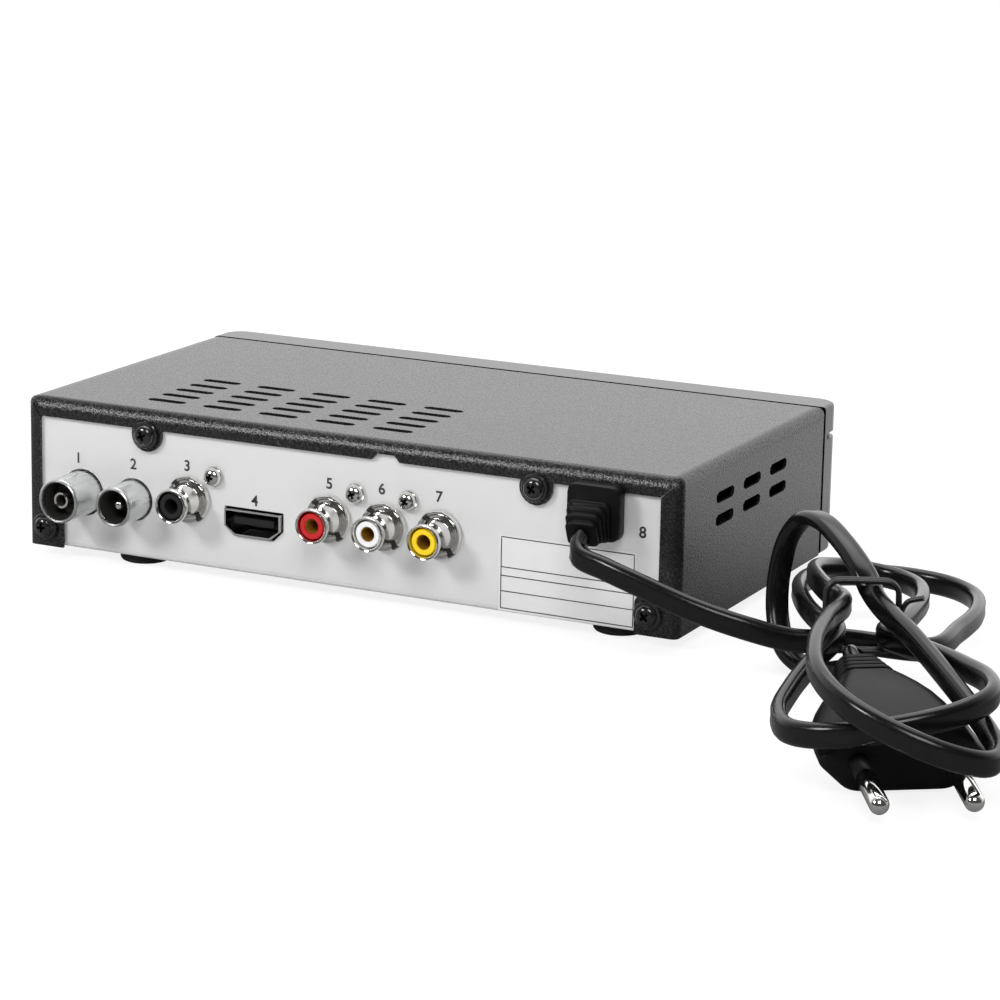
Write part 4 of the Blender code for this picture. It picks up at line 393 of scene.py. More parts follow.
# The cord's route and loops, as in the part
CORD_WIDTH = 0.0053
CORD_THICKNESS = 0.0033
CORD_HOLLOW = 0.95
CORD_EDGE_SWEEP = 84.0
CORD_EDGE_STEPS = 7
CORD_SPACING = 0.0012
MERGE_DISTANCE = 0.00001
LEAD_ROUTE = (
    (-0.06635, 0.01075, 0.02610), (-0.06730, 0.01485, 0.02320), (-0.07530, 0.01775, 0.02160),
    (-0.08450, 0.01885, 0.01930), (-0.09550, 0.01885, 0.01600), (-0.10670, 0.01635, 0.01280),
    (-0.11740, 0.01082, 0.00985), (-0.12600, 0.00608, 0.00992),
)
PLUG_ROUTE = ((-0.1374, 0.02535, 0.0109), (-0.1381, 0.03345, 0.0149), (-0.1411, 0.03775, 0.0140))
WAIST_PLACE = (-0.1370, 0.01685, 0.0215)
WAIST_BEARING = 25.0
LOOP_STEPS = 12
WAIST_PLACES = (
    (-0.00493, -0.01178), (0.00744, -0.00569), (-0.00200, -0.00591),
    (0.00646, 0.00075), (-0.00018, 0.00176), (0.00143, -0.01059),
)
LOOPS = (
    {"bearing": 194.810, "length": 0.07655, "half": 0.01551, "power": 1.4, "bulge": 0.25,
     "curl": 0.0, "drop": -0.00473, "lean": 0.0094, "standing": False},
    {"bearing": 26.181, "length": 0.06654, "half": 0.01738, "power": 1.0, "bulge": 0.25,
     "curl": 0.0, "drop": -0.00019, "lean": -0.2161, "standing": False},
    {"bearing": 198.946, "length": 0.06120, "half": 0.00907, "power": 1.4, "bulge": 0.25,
     "curl": 0.0, "drop": -0.00622, "lean": -0.0236, "standing": False},
    {"bearing": 26.458, "length": 0.07768, "half": 0.01372, "power": 1.0, "bulge": 0.20,
     "curl": -0.0095, "drop": -0.00901, "lean": 0.3544, "standing": False},
    {"bearing": 231.100, "length": 0.03944, "half": 0.01157, "power": 1.3, "bulge": 0.25,
     "curl": 0.0, "drop": 0.00188, "lean": 0.1214, "standing": True},
)
FINE_STEPS = 12
EASING_PASSES = 48


def bearing(degrees):
    """A level direction, turned from straight behind the box."""
    turn = math.radians(degrees)
    return Vector((-math.sin(turn), math.cos(turn), 0.0))


def behind_cover(point):
    """A point of the cord, given by how far it lies behind the cover."""
    x, behind, height = point
    return Vector((x, REAR_FACE + behind, height))


WAIST_ACROSS = bearing(WAIST_BEARING).cross(UP)
WAIST = behind_cover(WAIST_PLACE)


def loop_points(spec, leave, enter):
    """One loop of the hank, from its place in the waist out and back to the next place."""
    along = bearing(spec["bearing"])
    level = along.cross(UP)
    across, normal = (UP, level) if spec["standing"] else (level, UP)
    points = []
    for step in range(1, LOOP_STEPS):
        share = step / LOOP_STEPS
        reach = math.sin(math.pi * share)
        swing = math.sin(2 * math.pi * share)
        swing *= 1 - spec["bulge"] * math.cos(2 * math.pi * share)
        blend = share * share * (3 - 2 * share)
        side = leave[0] + (enter[0] - leave[0]) * blend
        rise = leave[1] + (enter[1] - leave[1]) * blend + spec["drop"] * reach ** 2
        point = WAIST + WAIST_ACROSS * side + UP * rise + along * spec["length"] * reach ** spec["power"]
        point += across * (spec["half"] * swing + spec["curl"] * reach ** 4)
        point += normal * spec["lean"] * spec["half"] * swing
        points.append((point, normal))
    return points


def cord_points():
    """Points and edge directions along the whole cord, from the strain relief to the plug."""
    chain = [(behind_cover(point), UP) for point in LEAD_ROUTE]
    for index, spec in enumerate(LOOPS):
        leave = WAIST_PLACES[index]
        if index:
            chain.append((WAIST + WAIST_ACROSS * leave[0] + UP * leave[1], chain[-1][1]))
        chain += loop_points(spec, leave, WAIST_PLACES[index + 1])
    return chain + [(behind_cover(point), UP) for point in PLUG_ROUTE]


def smooth_path(points, per):
    """A centripetal curve through the points, with some stations between each two."""
    ends = [2 * points[0] - points[1]] + points + [2 * points[-1] - points[-2]]
    path = []
    for index in range(1, len(ends) - 2):
        p0, p1, p2, p3 = ends[index - 1:index + 3]
        t1 = (p1 - p0).length ** 0.5
        t2 = t1 + (p2 - p1).length ** 0.5
        t3 = t2 + (p3 - p2).length ** 0.5
        for step in range(per):
            t = t1 + (t2 - t1) * step / per
            a1 = p0.lerp(p1, t / t1)
            a2 = p1.lerp(p2, (t - t1) / (t2 - t1))
            a3 = p2.lerp(p3, (t - t2) / (t3 - t2))
            b1 = a1.lerp(a2, t / t2)
            b2 = a2.lerp(a3, (t - t1) / (t3 - t1))
            path.append(b1.lerp(b2, (t - t1) / (t2 - t1)))
    path.append(points[-1].copy())
    return path


def stations(points, normals, spacing):
    """Even stations along a cord: place, edge direction and thickness direction."""
    fine = smooth_path(points, FINE_STEPS)
    edges = []
    for index in range(len(fine)):
        share = index * (len(normals) - 1) / (len(fine) - 1)
        before = min(int(share), len(normals) - 2)
        edges.append(normals[before].lerp(normals[before + 1], share - before))
    for _ in range(EASING_PASSES):
        eased = [(a + 2 * b + c) / 4 for a, b, c in zip(edges, edges[1:], edges[2:])]
        edges = [edges[0]] + eased + [edges[-1]]
    reach = [0.0]
    for a, b in zip(fine, fine[1:]):
        reach.append(reach[-1] + (b - a).length)
    count = round(reach[-1] / spacing)
    made = []
    index = 0
    for step in range(count + 1):
        target = reach[-1] * step / count
        while index < len(fine) - 2 and reach[index + 1] < target:
            index += 1
        share = (target - reach[index]) / (reach[index + 1] - reach[index])
        tangent = (fine[min(index + 3, len(fine) - 1)] - fine[max(index - 2, 0)]).normalized()
        edge = edges[index].lerp(edges[index + 1], share)
        edge = (edge - tangent * edge.dot(tangent)).normalized()
        made.append((fine[index].lerp(fine[index + 1], share), edge, tangent.cross(edge)))
    return made


def arc(centre, radius, start, stop, steps):
    """Points on an arc between two angles."""
    points = []
    for step in range(steps + 1):
        angle = math.radians(start + (stop - start) * step / steps)
        points.append((centre[0] + radius * math.cos(angle), centre[1] + radius * math.sin(angle)))
    return points


def loft(bm, rings, index=0):
    """A skin through rings of equal count, capped at both ends."""
    rows = [[bm.verts.new(point) for point in ring] for ring in rings]
    for row, following in zip(rows, rows[1:]):
        for step in range(len(row)):
            other = (step + 1) % len(row)
            bm.faces.new((row[step], row[other], following[other], following[step])).material_index = index
    bm.faces.new(rows[0][::-1])
    bm.faces.new(rows[-1])


def flat_section(width, thickness):
    """Flat twin cord: round edges and a faint hollow along each broad side."""
    radius = thickness / 2
    offset = width / 2 - radius
    points = arc((offset, 0), radius, -CORD_EDGE_SWEEP, CORD_EDGE_SWEEP, CORD_EDGE_STEPS)
    points.append((0.0, radius * CORD_HOLLOW))
    points += arc((-offset, 0), radius, 180 - CORD_EDGE_SWEEP, 180 + CORD_EDGE_SWEEP, CORD_EDGE_STEPS)
    points.append((0.0, -radius * CORD_HOLLOW))
    return points


def tube(name, run, section, material, stands_for):
    """A section swept along a run of stations."""
    bm = bmesh.new()
    loft(bm, [[place + edge * tall + thick * slim for tall, slim in section] for place, edge, thick in run])
    return piece(bm, name, material, stands_for, angle=60.0)


# The twist tie round the waist, as in the part
TIE_WIRE = 0.0012
TIE_SIDE = 0.0027
TIE_RISE = -0.0019
TIE_HALF_WIDTH = 0.0076
TIE_HALF_HEIGHT = 0.0077
TIE_SQUARE = 6.0
TIE_STEPS = 56
TIE_TURNS = 2
TIE_ADVANCE = 0.0028
TIE_SPACING = 0.0006
TIE_SIDES = 12
TIE_TAIL_START = ((-0.0100, -0.0085, -0.0018), (-0.0092, -0.0040, -0.0016))
TIE_TAIL_END = ((-0.0092, 0.0036, 0.0020), (-0.0125, 0.0050, 0.0034))


def tie_point(side, rise, ahead):
    """A place by the middle of the tie: sideways, up and along the waist."""
    across = WAIST_ACROSS * (TIE_SIDE + side)
    return WAIST + across + UP * (TIE_RISE + rise) + bearing(WAIST_BEARING) * ahead


def twist_tie():
    """Wire tie: two squared turns round the waist, with a tail at each end."""
    places = list(TIE_TAIL_START)
    for step in range(TIE_STEPS + 1):
        share = step / TIE_STEPS
        angle = math.radians(180 + 360 * TIE_TURNS * share)
        level = math.cos(angle)
        upright = math.sin(angle)
        bow = (abs(level) ** TIE_SQUARE + abs(upright) ** TIE_SQUARE) ** (-1 / TIE_SQUARE)
        around = (TIE_HALF_WIDTH * level * bow, TIE_HALF_HEIGHT * upright * bow)
        places.append((*around, TIE_ADVANCE * (share - 0.5)))
    places += TIE_TAIL_END
    points = [tie_point(*place) for place in places]
    run = stations(points, [bearing(WAIST_BEARING)] * len(points), TIE_SPACING)
    section = arc((0, 0), TIE_WIRE / 2, 0, 360 - 360 / TIE_SIDES, TIE_SIDES - 1)
    return tube("wire_tie", run, section, BLACK, ["twist_tie"])


# The plug, as in the part
PLUG_FACE = behind_cover((-0.1638, 0.07035, 0.0071))
PLUG_TURN = 34.8
PLUG_NOSE_DOWN = 10.0
PLUG_BODY = (
    (0.0000, 0.0329, 0.0194, 0.0121), (0.0003, 0.0343, 0.0203, 0.0131), (0.0010, 0.0353, 0.0210, 0.0137),
    (0.0060, 0.0351, 0.0209, 0.0137), (0.0110, 0.0342, 0.0204, 0.0136), (0.0150, 0.0324, 0.0195, 0.0133),
    (0.0190, 0.0290, 0.0180, 0.0129), (0.0230, 0.0247, 0.0158, 0.0121), (0.0270, 0.0193, 0.0129, 0.0111),
    (0.0300, 0.0158, 0.0106, 0.0102),
)
PLUG_RIB_BACK = 0.0306
PLUG_RIB_PITCH = 0.0023
PLUG_RIBS = 4
PLUG_RIB_TAPER = 0.075
PLUG_RIB = ((0.0, 0.84), (0.0007, 0.84), (0.0009, 0.94), (0.0013, 0.97), (0.0020, 0.95), (0.0022, 0.84))
PLUG_TAIL = (0.0146, 0.0100, 0.0100)
PLUG_END = (0.0400, 0.0090, 0.0062, 0.0066)
PLUG_CORNER = 0.0022
PLUG_CORNER_LIMIT = 0.45
PLUG_CORNER_STEPS = 4
TAIL_CORNER = 0.0018
PIN_SPACING = 0.0186
PIN_RADIUS = 0.0020
PIN_LENGTH = 0.0190
PIN_SLEEVE = 0.0062
PIN_GROOVE = 0.00012
PIN_ROOT = 0.0030
PIN_STEPS = 32
DOME_STEPS = 6


def hexagon(width, flat, height, corner):
    """A flat six-sided outline with its corners rounded."""
    corners = [Vector((width / 2, 0)), Vector((flat / 2, height / 2)), Vector((-flat / 2, height / 2)),
               Vector((-width / 2, 0)), Vector((-flat / 2, -height / 2)), Vector((flat / 2, -height / 2))]
    points = []
    for index, point in enumerate(corners):
        before = corners[index - 1]
        after = corners[(index + 1) % 6]
        shorter = min((before - point).length, (after - point).length)
        cut = min(corner, shorter * PLUG_CORNER_LIMIT)
        start = point + (before - point).normalized() * cut
        stop = point + (after - point).normalized() * cut
        for step in range(PLUG_CORNER_STEPS + 1):
            share = step / PLUG_CORNER_STEPS
            points.append(start.lerp(point, share).lerp(point.lerp(stop, share), share))
    return points


def plug_axes():
    """The plug's sideways, upright and forward directions."""
    facing = bearing(PLUG_TURN)
    tip = math.radians(PLUG_NOSE_DOWN)
    upright = facing * math.sin(tip) + UP * math.cos(tip)
    return facing.cross(UP), upright, facing * math.cos(tip) - UP * math.sin(tip)


def plug_body():
    """Moulded plug with a ribbed tail."""
    sideways, upright, forward = plug_axes()
    sections = [(*section, PLUG_CORNER) for section in PLUG_BODY]
    for rib in range(PLUG_RIBS):
        near = PLUG_RIB_BACK + rib * PLUG_RIB_PITCH
        for shift, size in PLUG_RIB:
            scale = size * (1.0 - PLUG_RIB_TAPER * rib)
            sections.append((near + shift, *(side * scale for side in PLUG_TAIL), TAIL_CORNER))
    sections.append((*PLUG_END, TAIL_CORNER))
    rings = []
    for back, width, flat, height, corner in sections:
        middle = PLUG_FACE - forward * back
        outline = hexagon(width, flat, height, corner)
        rings.append([middle + sideways * a + upright * b for a, b in outline])
    bm = bmesh.new()
    loft(bm, rings)
    return piece(bm, "moulded_plug", PLUG_BLACK, ["plug_body"], angle=40.0)


def plug_pin(name, sign):
    """A round pin with a domed tip and a black sleeve."""
    sideways, upright, forward = plug_axes()
    turn = Matrix((sideways, -upright, forward)).transposed().to_4x4()
    place = Matrix.Translation(PLUG_FACE + sideways * sign * PIN_SPACING / 2)
    groove = (PIN_RADIUS - PIN_GROOVE, PIN_SLEEVE)
    tip = []
    for step in range(DOME_STEPS + 1):
        angle = math.radians(90 * step / DOME_STEPS)
        tip.append((PIN_RADIUS * math.sin(angle), PIN_LENGTH - PIN_RADIUS * (1 - math.cos(angle))))
    tip += [(PIN_RADIUS, PIN_SLEEVE + 0.0002), groove]
    sleeve = [groove, (PIN_RADIUS, PIN_SLEEVE - 0.0003), (PIN_RADIUS, -PIN_ROOT), (0.0, -PIN_ROOT)]
    bm = bmesh.new()
    lathe(bm, tip, place, turn, PIN_STEPS)
    lathe(bm, sleeve, place, turn, PIN_STEPS, index=1)
    bmesh.ops.remove_doubles(bm, verts=bm.verts[:], dist=MERGE_DISTANCE)
    return piece(bm, f"plug_pin_sleeved_{name}", [NICKEL, PLUG_BLACK], [f"plug_pin_{name}"])


def plug():
    """The plug's body and its two pins."""
    return [plug_body(), plug_pin("left", 1), plug_pin("right", -1)]


# The strain relief, as in the part
STRAIN_X = -0.0655
STRAIN_Z = 0.0260
STRAIN_DROOP = 35.0
STRAIN_SWAY = 12.0
STRAIN_RIBS = 4
STRAIN_RIB_PITCH = 0.0017
STRAIN_SHOULDER = 0.0104
STRAIN_NOSE = 0.0072
STRAIN_BOOT = 0.0042
STRAIN_GROOVE = 0.0012
STRAIN_EASE = 0.0003
STRAIN_RIB_SHARES = (0.06, 0.5, 0.94)
BLOCK_CORNER = 0.0020
BOOT_CORNER = 0.0014
CORNER_STEPS = 5
# Lug, neck and block: distance behind the cover, size and lift
STRAIN_BLOCK = (
    (-0.0072, 0.0096, 0.0), (-0.0022, 0.0096, 0.0), (-0.0022, 0.0080, 0.0), (0.0003, 0.0080, 0.0),
    (0.0003, 0.0121, 0.0014), (0.0006, 0.0127, 0.0014), (0.0032, 0.0127, 0.0014),
    (0.0039, 0.0122, 0.0014), (STRAIN_BOOT, STRAIN_SHOULDER, 0.0007),
)


def rounded(width, height, radius, steps):
    """A rectangle with round corners."""
    points = []
    for corner, (sign_x, sign_y) in enumerate(((1, 1), (-1, 1), (-1, -1), (1, -1))):
        middle = (sign_x * (width / 2 - radius), sign_y * (height / 2 - radius))
        points += arc(middle, radius, 90 * corner, 90 * corner + 90, steps)
    return points


def boot_facing(turn):
    """Where the boot points, after a share of its turn down and sideways."""
    droop = math.radians(STRAIN_DROOP * turn)
    sway = math.radians(STRAIN_SWAY * turn)
    return Vector((-math.sin(sway), math.cos(sway), 0)) * math.cos(droop) - UP * math.sin(droop)


def strain_relief():
    """Gland: lug, neck, rounded block, and a ribbed boot that droops towards its nose."""
    base = Vector((STRAIN_X, REAR_FACE, UNDERSIDE + STRAIN_Z))
    axis = Vector((1.0, 0.0, 0.0))
    rings = []
    for behind, size, lift in STRAIN_BLOCK:
        place = base + Vector((0, behind, lift))
        outline = rounded(size, size, BLOCK_CORNER, CORNER_STEPS)
        rings.append([place + axis * a + UP * b for a, b in outline])
    middle = base + Vector((0, STRAIN_BOOT, 0))
    halves = 2 * STRAIN_RIBS
    taper = (STRAIN_SHOULDER - STRAIN_NOSE) / halves
    for half in range(halves):
        facing = boot_facing((half + 1) / halves)
        upright = (UP - facing * UP.dot(facing)).normalized()
        sideways = facing.cross(upright).normalized()
        size = STRAIN_SHOULDER - taper * (half + 1)
        widths = [size - STRAIN_GROOVE] * 3
        if half % 2:
            widths = [size - STRAIN_EASE, size, size - STRAIN_EASE]
        for share, width in zip(STRAIN_RIB_SHARES, widths):
            here = middle + facing * STRAIN_RIB_PITCH / 2 * share
            outline = rounded(width, width, BOOT_CORNER, CORNER_STEPS)
            rings.append([here + sideways * a + upright * b for a, b in outline])
        middle = middle + facing * STRAIN_RIB_PITCH / 2
    bm = bmesh.new()
    loft(bm, rings)
    return piece(bm, "ribbed_strain_relief", PLUG_BLACK, ["strain_relief"], angle=50.0)


# Phono sockets: name, place across the panel, insert's finish and colour slot
PHONO = (
    ("coax", 0.0408, BLACK, "black_plastic"), ("left", 0.0033, RED, "red_plastic"),
    ("right", -0.0112, WHITE, "white_plastic"), ("video", -0.0255, YELLOW, "yellow_plastic"),
)
PHONO_Z = 0.0162
PHONO_TIP = PANEL_FACE + 0.0090
PHONO_FOOT = PANEL_FACE + 0.0003
PHONO_BORE = 0.00345
# Beaded mouth: radius and distance behind the tip
PHONO_MOUTH = (
    (PHONO_BORE, 0.0004), (0.00360, 0.0001), (0.00385, 0.0), (0.00405, 0.0002), (0.00415, 0.0006),
    (0.00415, 0.0014), (0.00400, 0.0017),
)
# Rolled collar: radius and height over its foot
PHONO_COLLAR = (
    (0.00400, 0.0010), (0.00425, 0.0006), (0.00470, 0.0006), (0.00495, 0.0010), (0.00520, 0.0011),
    (0.00550, 0.0010), (0.00565, 0.0007), (0.00570, 0.0004), (0.00570, 0.0), (0.00415, 0.0),
)
PHONO_NECK = 0.00415
PHONO_STEPS = 60
COLLAR_INSIDE = 0.0044
COLLAR_SLOT = 128.0
COLLAR_SLOT_HALF = 9.0
# Insert and its bore: radius and distance behind the insert's face
INSERT_FACE = PHONO_TIP - 0.0006
INSERT_RIM = ((0.00170, 0.0002), (0.00185, 0.0), (0.00290, 0.0), (0.00310, 0.0003), (0.00315, 0.0008))
INSERT_BORE = ((0.0, 0.0070), (0.00150, 0.0070), (0.00160, 0.0010), (0.00170, 0.0002))
INSERT_RADIUS = 0.00315
INSERT_STEPS = 48


def set_back(face, profile):
    """A profile whose heights are given as distances behind a face."""
    return [(radius, face - distance) for radius, distance in profile]


def darken_slot(bm, place, test, angle, half):
    """Give painted shade, the second finish, to faces that pass a test and lie in a slot across the axis.
    """
    for face in bm.faces:
        side = face.calc_center_median() - place.translation
        around = math.degrees(math.atan2(side.z, -side.x)) % 180
        if test(side) and abs(around - angle) < half:
            face.material_index = 1


def on_collar(side):
    """Whether a place beside the axis lies on the collar."""
    return math.hypot(side.x, side.z) > COLLAR_INSIDE


def phono_shell(name, place):
    """Bright shell with a rolled collar, its slots painted on as shade, and a beaded mouth."""
    collar = [(radius, PHONO_FOOT + height) for radius, height in PHONO_COLLAR]
    back = [(PHONO_NECK, SOCKET_BACK), (PHONO_BORE, SOCKET_BACK)]
    bm = bmesh.new()
    lathe(bm, set_back(PHONO_TIP, PHONO_MOUTH) + collar + back, place, REARWARD, PHONO_STEPS, closed=True)
    # Painted shade in the collar's slots, which are not cut
    darken_slot(bm, place, on_collar, COLLAR_SLOT, COLLAR_SLOT_HALF)
    piece(bm, f"{name}_ring", [NICKEL, WELL], [f"{name}_shell"], angle=45.0)


def phono_insert(name, place, finish):
    """Coloured insert with a gilt bore, or a black one in the digital audio socket."""
    bm = bmesh.new()
    back = [(INSERT_RADIUS, SOCKET_BACK), (0.0, SOCKET_BACK)]
    lathe(bm, set_back(INSERT_FACE, INSERT_RIM) + back, place, REARWARD, INSERT_STEPS)
    lathe(bm, set_back(INSERT_FACE, INSERT_BORE), place, REARWARD, INSERT_STEPS, index=1)
    bmesh.ops.remove_doubles(bm, verts=bm.verts[:], dist=MERGE_DISTANCE)
    bore_finish = BLACK if name == "coax" else GILT
    piece(bm, f"{name}_core", [finish, bore_finish], [f"{name}_insert"], angle=45.0)


def phono_sockets():
    """Four phono sockets, each a shell and an insert."""
    for name, x, finish, slot in PHONO:
        place = at(x, PHONO_Z)
        phono_shell(name, place)
        phono_insert(name, place, finish)


# Aerial sockets: name, place across the panel, radius, length and depth of the well
AERIALS = (("rf_in", 0.0704, 0.00535, 0.0111, 0.0060), ("rf_out", 0.0562, 0.0048, 0.0094, 0.0080))
AERIAL_Z = 0.0142
AERIAL_WALL = 0.0009
AERIAL_STEP = 0.00005
AERIAL_TUBE_STEPS = 64
AERIAL_CORE_STEPS = 32
WELL_EDGE = 0.0007
WELL_CLEARANCE = 0.0003
# Ends of the split contact and of the pin: radius and distance behind the end
CONTACT_BACK = 0.0015
CONTACT_BORE = 0.0013
CONTACT_END = ((CONTACT_BORE, 0.0002), (0.0014, 0.0), (0.0019, 0.0), (0.0020, 0.0003))
CONTACT_SLOT = 50.0
CONTACT_SLOT_HALF = 14.0
CENTRE_PIN_BACK = 0.0020
CENTRE_PIN_END = ((0.0, 0.0), (0.0007, 0.0001), (0.0011, 0.0005), (0.0012, 0.0009))


def aerial_tube(name, place, radius, tip):
    """Satin tube with a rolled mouth and painted shade inside."""
    inner = radius - AERIAL_WALL
    mouth = [(inner, 0.0006), (inner + 0.0002, 0.0001), (radius - 0.0004, 0.0), (radius - 0.0001, 0.0002),
             (radius, WELL_EDGE)]
    root = [(radius, PANEL_FACE + 0.0009), (radius - AERIAL_STEP, PANEL_FACE + 0.0005),
            (radius - AERIAL_STEP, SOCKET_BACK), (inner, SOCKET_BACK)]
    bm = bmesh.new()
    lathe(bm, set_back(tip, mouth) + root, place, REARWARD, AERIAL_TUBE_STEPS, closed=True)
    # Painted shade on the tube's inner wall, deeper than the mouth's edge
    for face in bm.faces:
        side = face.calc_center_median() - place.translation
        if math.hypot(side.x, side.z) < inner + 0.0001 and side.y < tip - WELL_EDGE:
            face.material_index = 1
    piece(bm, f"{name}_tube", [SATIN_NICKEL, WELL], [f"{name}_shell"], angle=45.0)


def aerial_core(name, place, radius, tip, bed):
    """The split contact of the inlet or the pin of the outlet, on the bed of the well."""
    bm = bmesh.new()
    # The inlet's bore and the well's bed take painted shade as their second finish
    if name == "rf_in":
        end = set_back(tip - CONTACT_BACK, CONTACT_END)
        bore = [(0.0, bed), (CONTACT_BORE, bed), end[0]]
        lathe(bm, bore, place, REARWARD, AERIAL_CORE_STEPS, index=1)
    else:
        end = set_back(tip - CENTRE_PIN_BACK, CENTRE_PIN_END)
    foot = (end[-1][0], bed)
    disc = radius - AERIAL_WALL - WELL_CLEARANCE
    lathe(bm, end + [foot], place, REARWARD, AERIAL_CORE_STEPS)
    well = [foot, (disc, bed), (disc, SOCKET_BACK), (0.0, SOCKET_BACK)]
    lathe(bm, well, place, REARWARD, AERIAL_CORE_STEPS, index=1)
    bmesh.ops.remove_doubles(bm, verts=bm.verts[:], dist=MERGE_DISTANCE)
    # Painted shade in the contact's split, which is not cut
    if name == "rf_in":
        darken_slot(bm, place, lambda side: side.y > bed + 0.0001, CONTACT_SLOT, CONTACT_SLOT_HALF)
    piece(bm, f"{name}_core", [NICKEL, WELL], [f"{name}_contact"], angle=45.0)


def aerial_sockets():
    """The aerial inlet and outlet."""
    for name, x, radius, length, well in AERIALS:
        place = at(x, AERIAL_Z)
        tip = PANEL_FACE + length
        aerial_tube(name, place, radius, tip)
        aerial_core(name, place, radius, tip, tip - well)


# Screw kinds: washer radius, head radius, finish and colour slot
COVER_KIND = (0.0033, 0.0025, BLACK_STEEL, "black_screw")
JACK_KIND = (0.00235, 0.0021, ZINC, "zinc_screw")
# Screws: node, place across the panel, height, face it sits on and kind
SCREWS = (
    ("cover_screw_upper_left", 0.0519, 0.0306, REAR_FACE, COVER_KIND),
    ("cover_screw_upper_right", -0.0498, 0.0304, REAR_FACE, COVER_KIND),
    ("cover_screw_lower_left", 0.0802, 0.0049, REAR_FACE, COVER_KIND),
    ("cover_screw_lower_right", -0.0780, 0.0049, REAR_FACE, COVER_KIND),
    ("jack_screw_coax", 0.0340, 0.0226, PANEL_FACE, JACK_KIND),
    ("jack_screw_left_right", -0.0037, 0.0232, PANEL_FACE, JACK_KIND),
    ("jack_screw_right_video", -0.0174, 0.0232, PANEL_FACE, JACK_KIND),
)
SCREW_GAP = 0.0003
WASHER_THICKNESS = 0.0006
WASHER_EDGE = 0.0002
HEAD_HEIGHT = 0.0016
# Dome of the head: share of its radius and distance under its top
HEAD_DOME = ((0.0, 0.0), (0.35, 0.00004), (0.62, 0.0002), (0.84, 0.0005), (0.96, 0.0009))
SHANK_RADIUS = 0.0012
SHANK_LENGTH = 0.0042
SCREW_STEPS = 40
CROSS_LENGTH = 0.0028
CROSS_WIDTH = 0.0007
CROSS_DEPTH = 0.0010
CROSS_RISE = 0.0004
CROSS_TAPER = 0.5
CROSS_LEAN = 20.0
CROSS_LEAN_STEP = 37.0


def screw_profile(seat, washer, head):
    """Domed head on a washer, and a short shank."""
    low = seat + SCREW_GAP
    brim = low + WASHER_THICKNESS
    top = brim + HEAD_HEIGHT
    dome = [(head * share, top - drop) for share, drop in HEAD_DOME]
    skirt = [(head, brim + WASHER_EDGE), (head + 0.0001, brim), (washer - WASHER_EDGE, brim),
             (washer, brim - WASHER_EDGE), (washer, low)]
    end = seat - SHANK_LENGTH
    return dome + skirt + [(SHANK_RADIUS, low), (SHANK_RADIUS, end), (0.0, end)]


def cross_tool(index, place, head, top):
    """A tapered cross, hidden, that cuts the recess of a screw and gives the recess painted shade."""
    lean = Matrix.Rotation(math.radians(CROSS_LEAN + CROSS_LEAN_STEP * index), 4, "Z")
    wide = CROSS_WIDTH / 2
    longest = CROSS_LENGTH / 2 * head / COVER_KIND[1]
    bm = bmesh.new()
    for quarter in (0, 90):
        turn = REARWARD @ lean @ Matrix.Rotation(math.radians(quarter), 4, "Z")
        rings = []
        for depth, share in ((-CROSS_RISE, 1.0), (CROSS_DEPTH, CROSS_TAPER)):
            half = longest * share
            corners = ((half, wide), (-half, wide), (-half, -wide), (half, -wide))
            rings.append([place @ (turn @ Vector((a, b, top - depth))) for a, b in corners])
        loft(bm, rings)
    bmesh.ops.recalc_face_normals(bm, faces=bm.faces[:])
    mesh = bpy.data.meshes.new(f"cross_{index}")
    bm.to_mesh(mesh)
    bm.free()
    mesh.materials.append(RECESS_PAINTED_SHADE)
    tool = bpy.data.objects.new(f"cross_{index}", mesh)
    bpy.context.scene.collection.objects.link(tool)
    tool.hide_render = True
    tool.hide_viewport = True
    return tool


def screws():
    """Washer-head screws with a tapered cross recess, painted with shade inside."""
    for index, (node, x, height, seat, kind) in enumerate(SCREWS):
        washer, head, finish, slot = kind
        place = at(x, height)
        profile = screw_profile(seat, washer, head)
        bm = bmesh.new()
        lathe(bm, profile, place, REARWARD, SCREW_STEPS)
        made = piece(bm, f"turned_{node}", finish, [node], angle=40.0)
        cut = made.modifiers.new("cross", "BOOLEAN")
        cut.object = cross_tool(index, place, head, profile[0][1])
        # The recess's cut faces take the cutter's painted shade
        cut.material_mode = "TRANSFER"
        cut.solver = "EXACT"
        cut.use_self = True


FOOT_SIDES = (("left", 0.0583), ("right", -0.0669))
FOOT_STEPS = 48
FOOT_ENDS = (("rear", REAR_FACE - 0.0100), ("front", REAR_FACE - 0.0740))
# Radius and height of a foot's outline
FOOT_PROFILE = (
    (0.0, 0.0022), (0.0062, 0.0022), (0.0062, 0.0012), (0.0061, 0.0006), (0.0058, 0.0002),
    (0.0054, 0.0), (0.0, 0.0),
)


def feet():
    """Four round rubber feet with a rounded lower edge."""
    for side, x in FOOT_SIDES:
        for end, y in FOOT_ENDS:
            bm = bmesh.new()
            lathe(bm, FOOT_PROFILE, Matrix.Translation((x, y, 0.0)), Matrix.Identity(4), FOOT_STEPS)
            piece(bm, f"rubber_foot_{end}_{side}", RUBBER, [f"foot_{end}_{side}"], angle=45.0)


# Plain numerals in place of the printed legends: number, place across the panel and height
NUMERALS = (
    ("1", 0.0716, 0.0213), ("2", 0.0562, 0.0216), ("3", 0.0414, 0.0230), ("4", 0.0231, 0.0168),
    ("5", 0.0033, 0.0234), ("6", -0.0104, 0.0238), ("7", -0.0251, 0.0238), ("8", -0.0757, 0.0220),
)
NUMERAL_SIZE = 0.0036
NUMERAL_WEIGHT = 0.00007
PRINT_LIFT = 0.00006
LABEL_SIDES = (-0.0405, -0.0745)
LABEL_HEIGHTS = (0.0006, 0.0184)
LABEL_RULES = (0.0052, 0.0088, 0.0108)
LABEL_INSET = 0.0006
RULE_WIDTH = 0.00022
READ_FROM_BEHIND = Matrix(((-1, 0, 0, 0), (0, 0, 1, 0), (0, 1, 0, 0), (0, 0, 0, 1)))


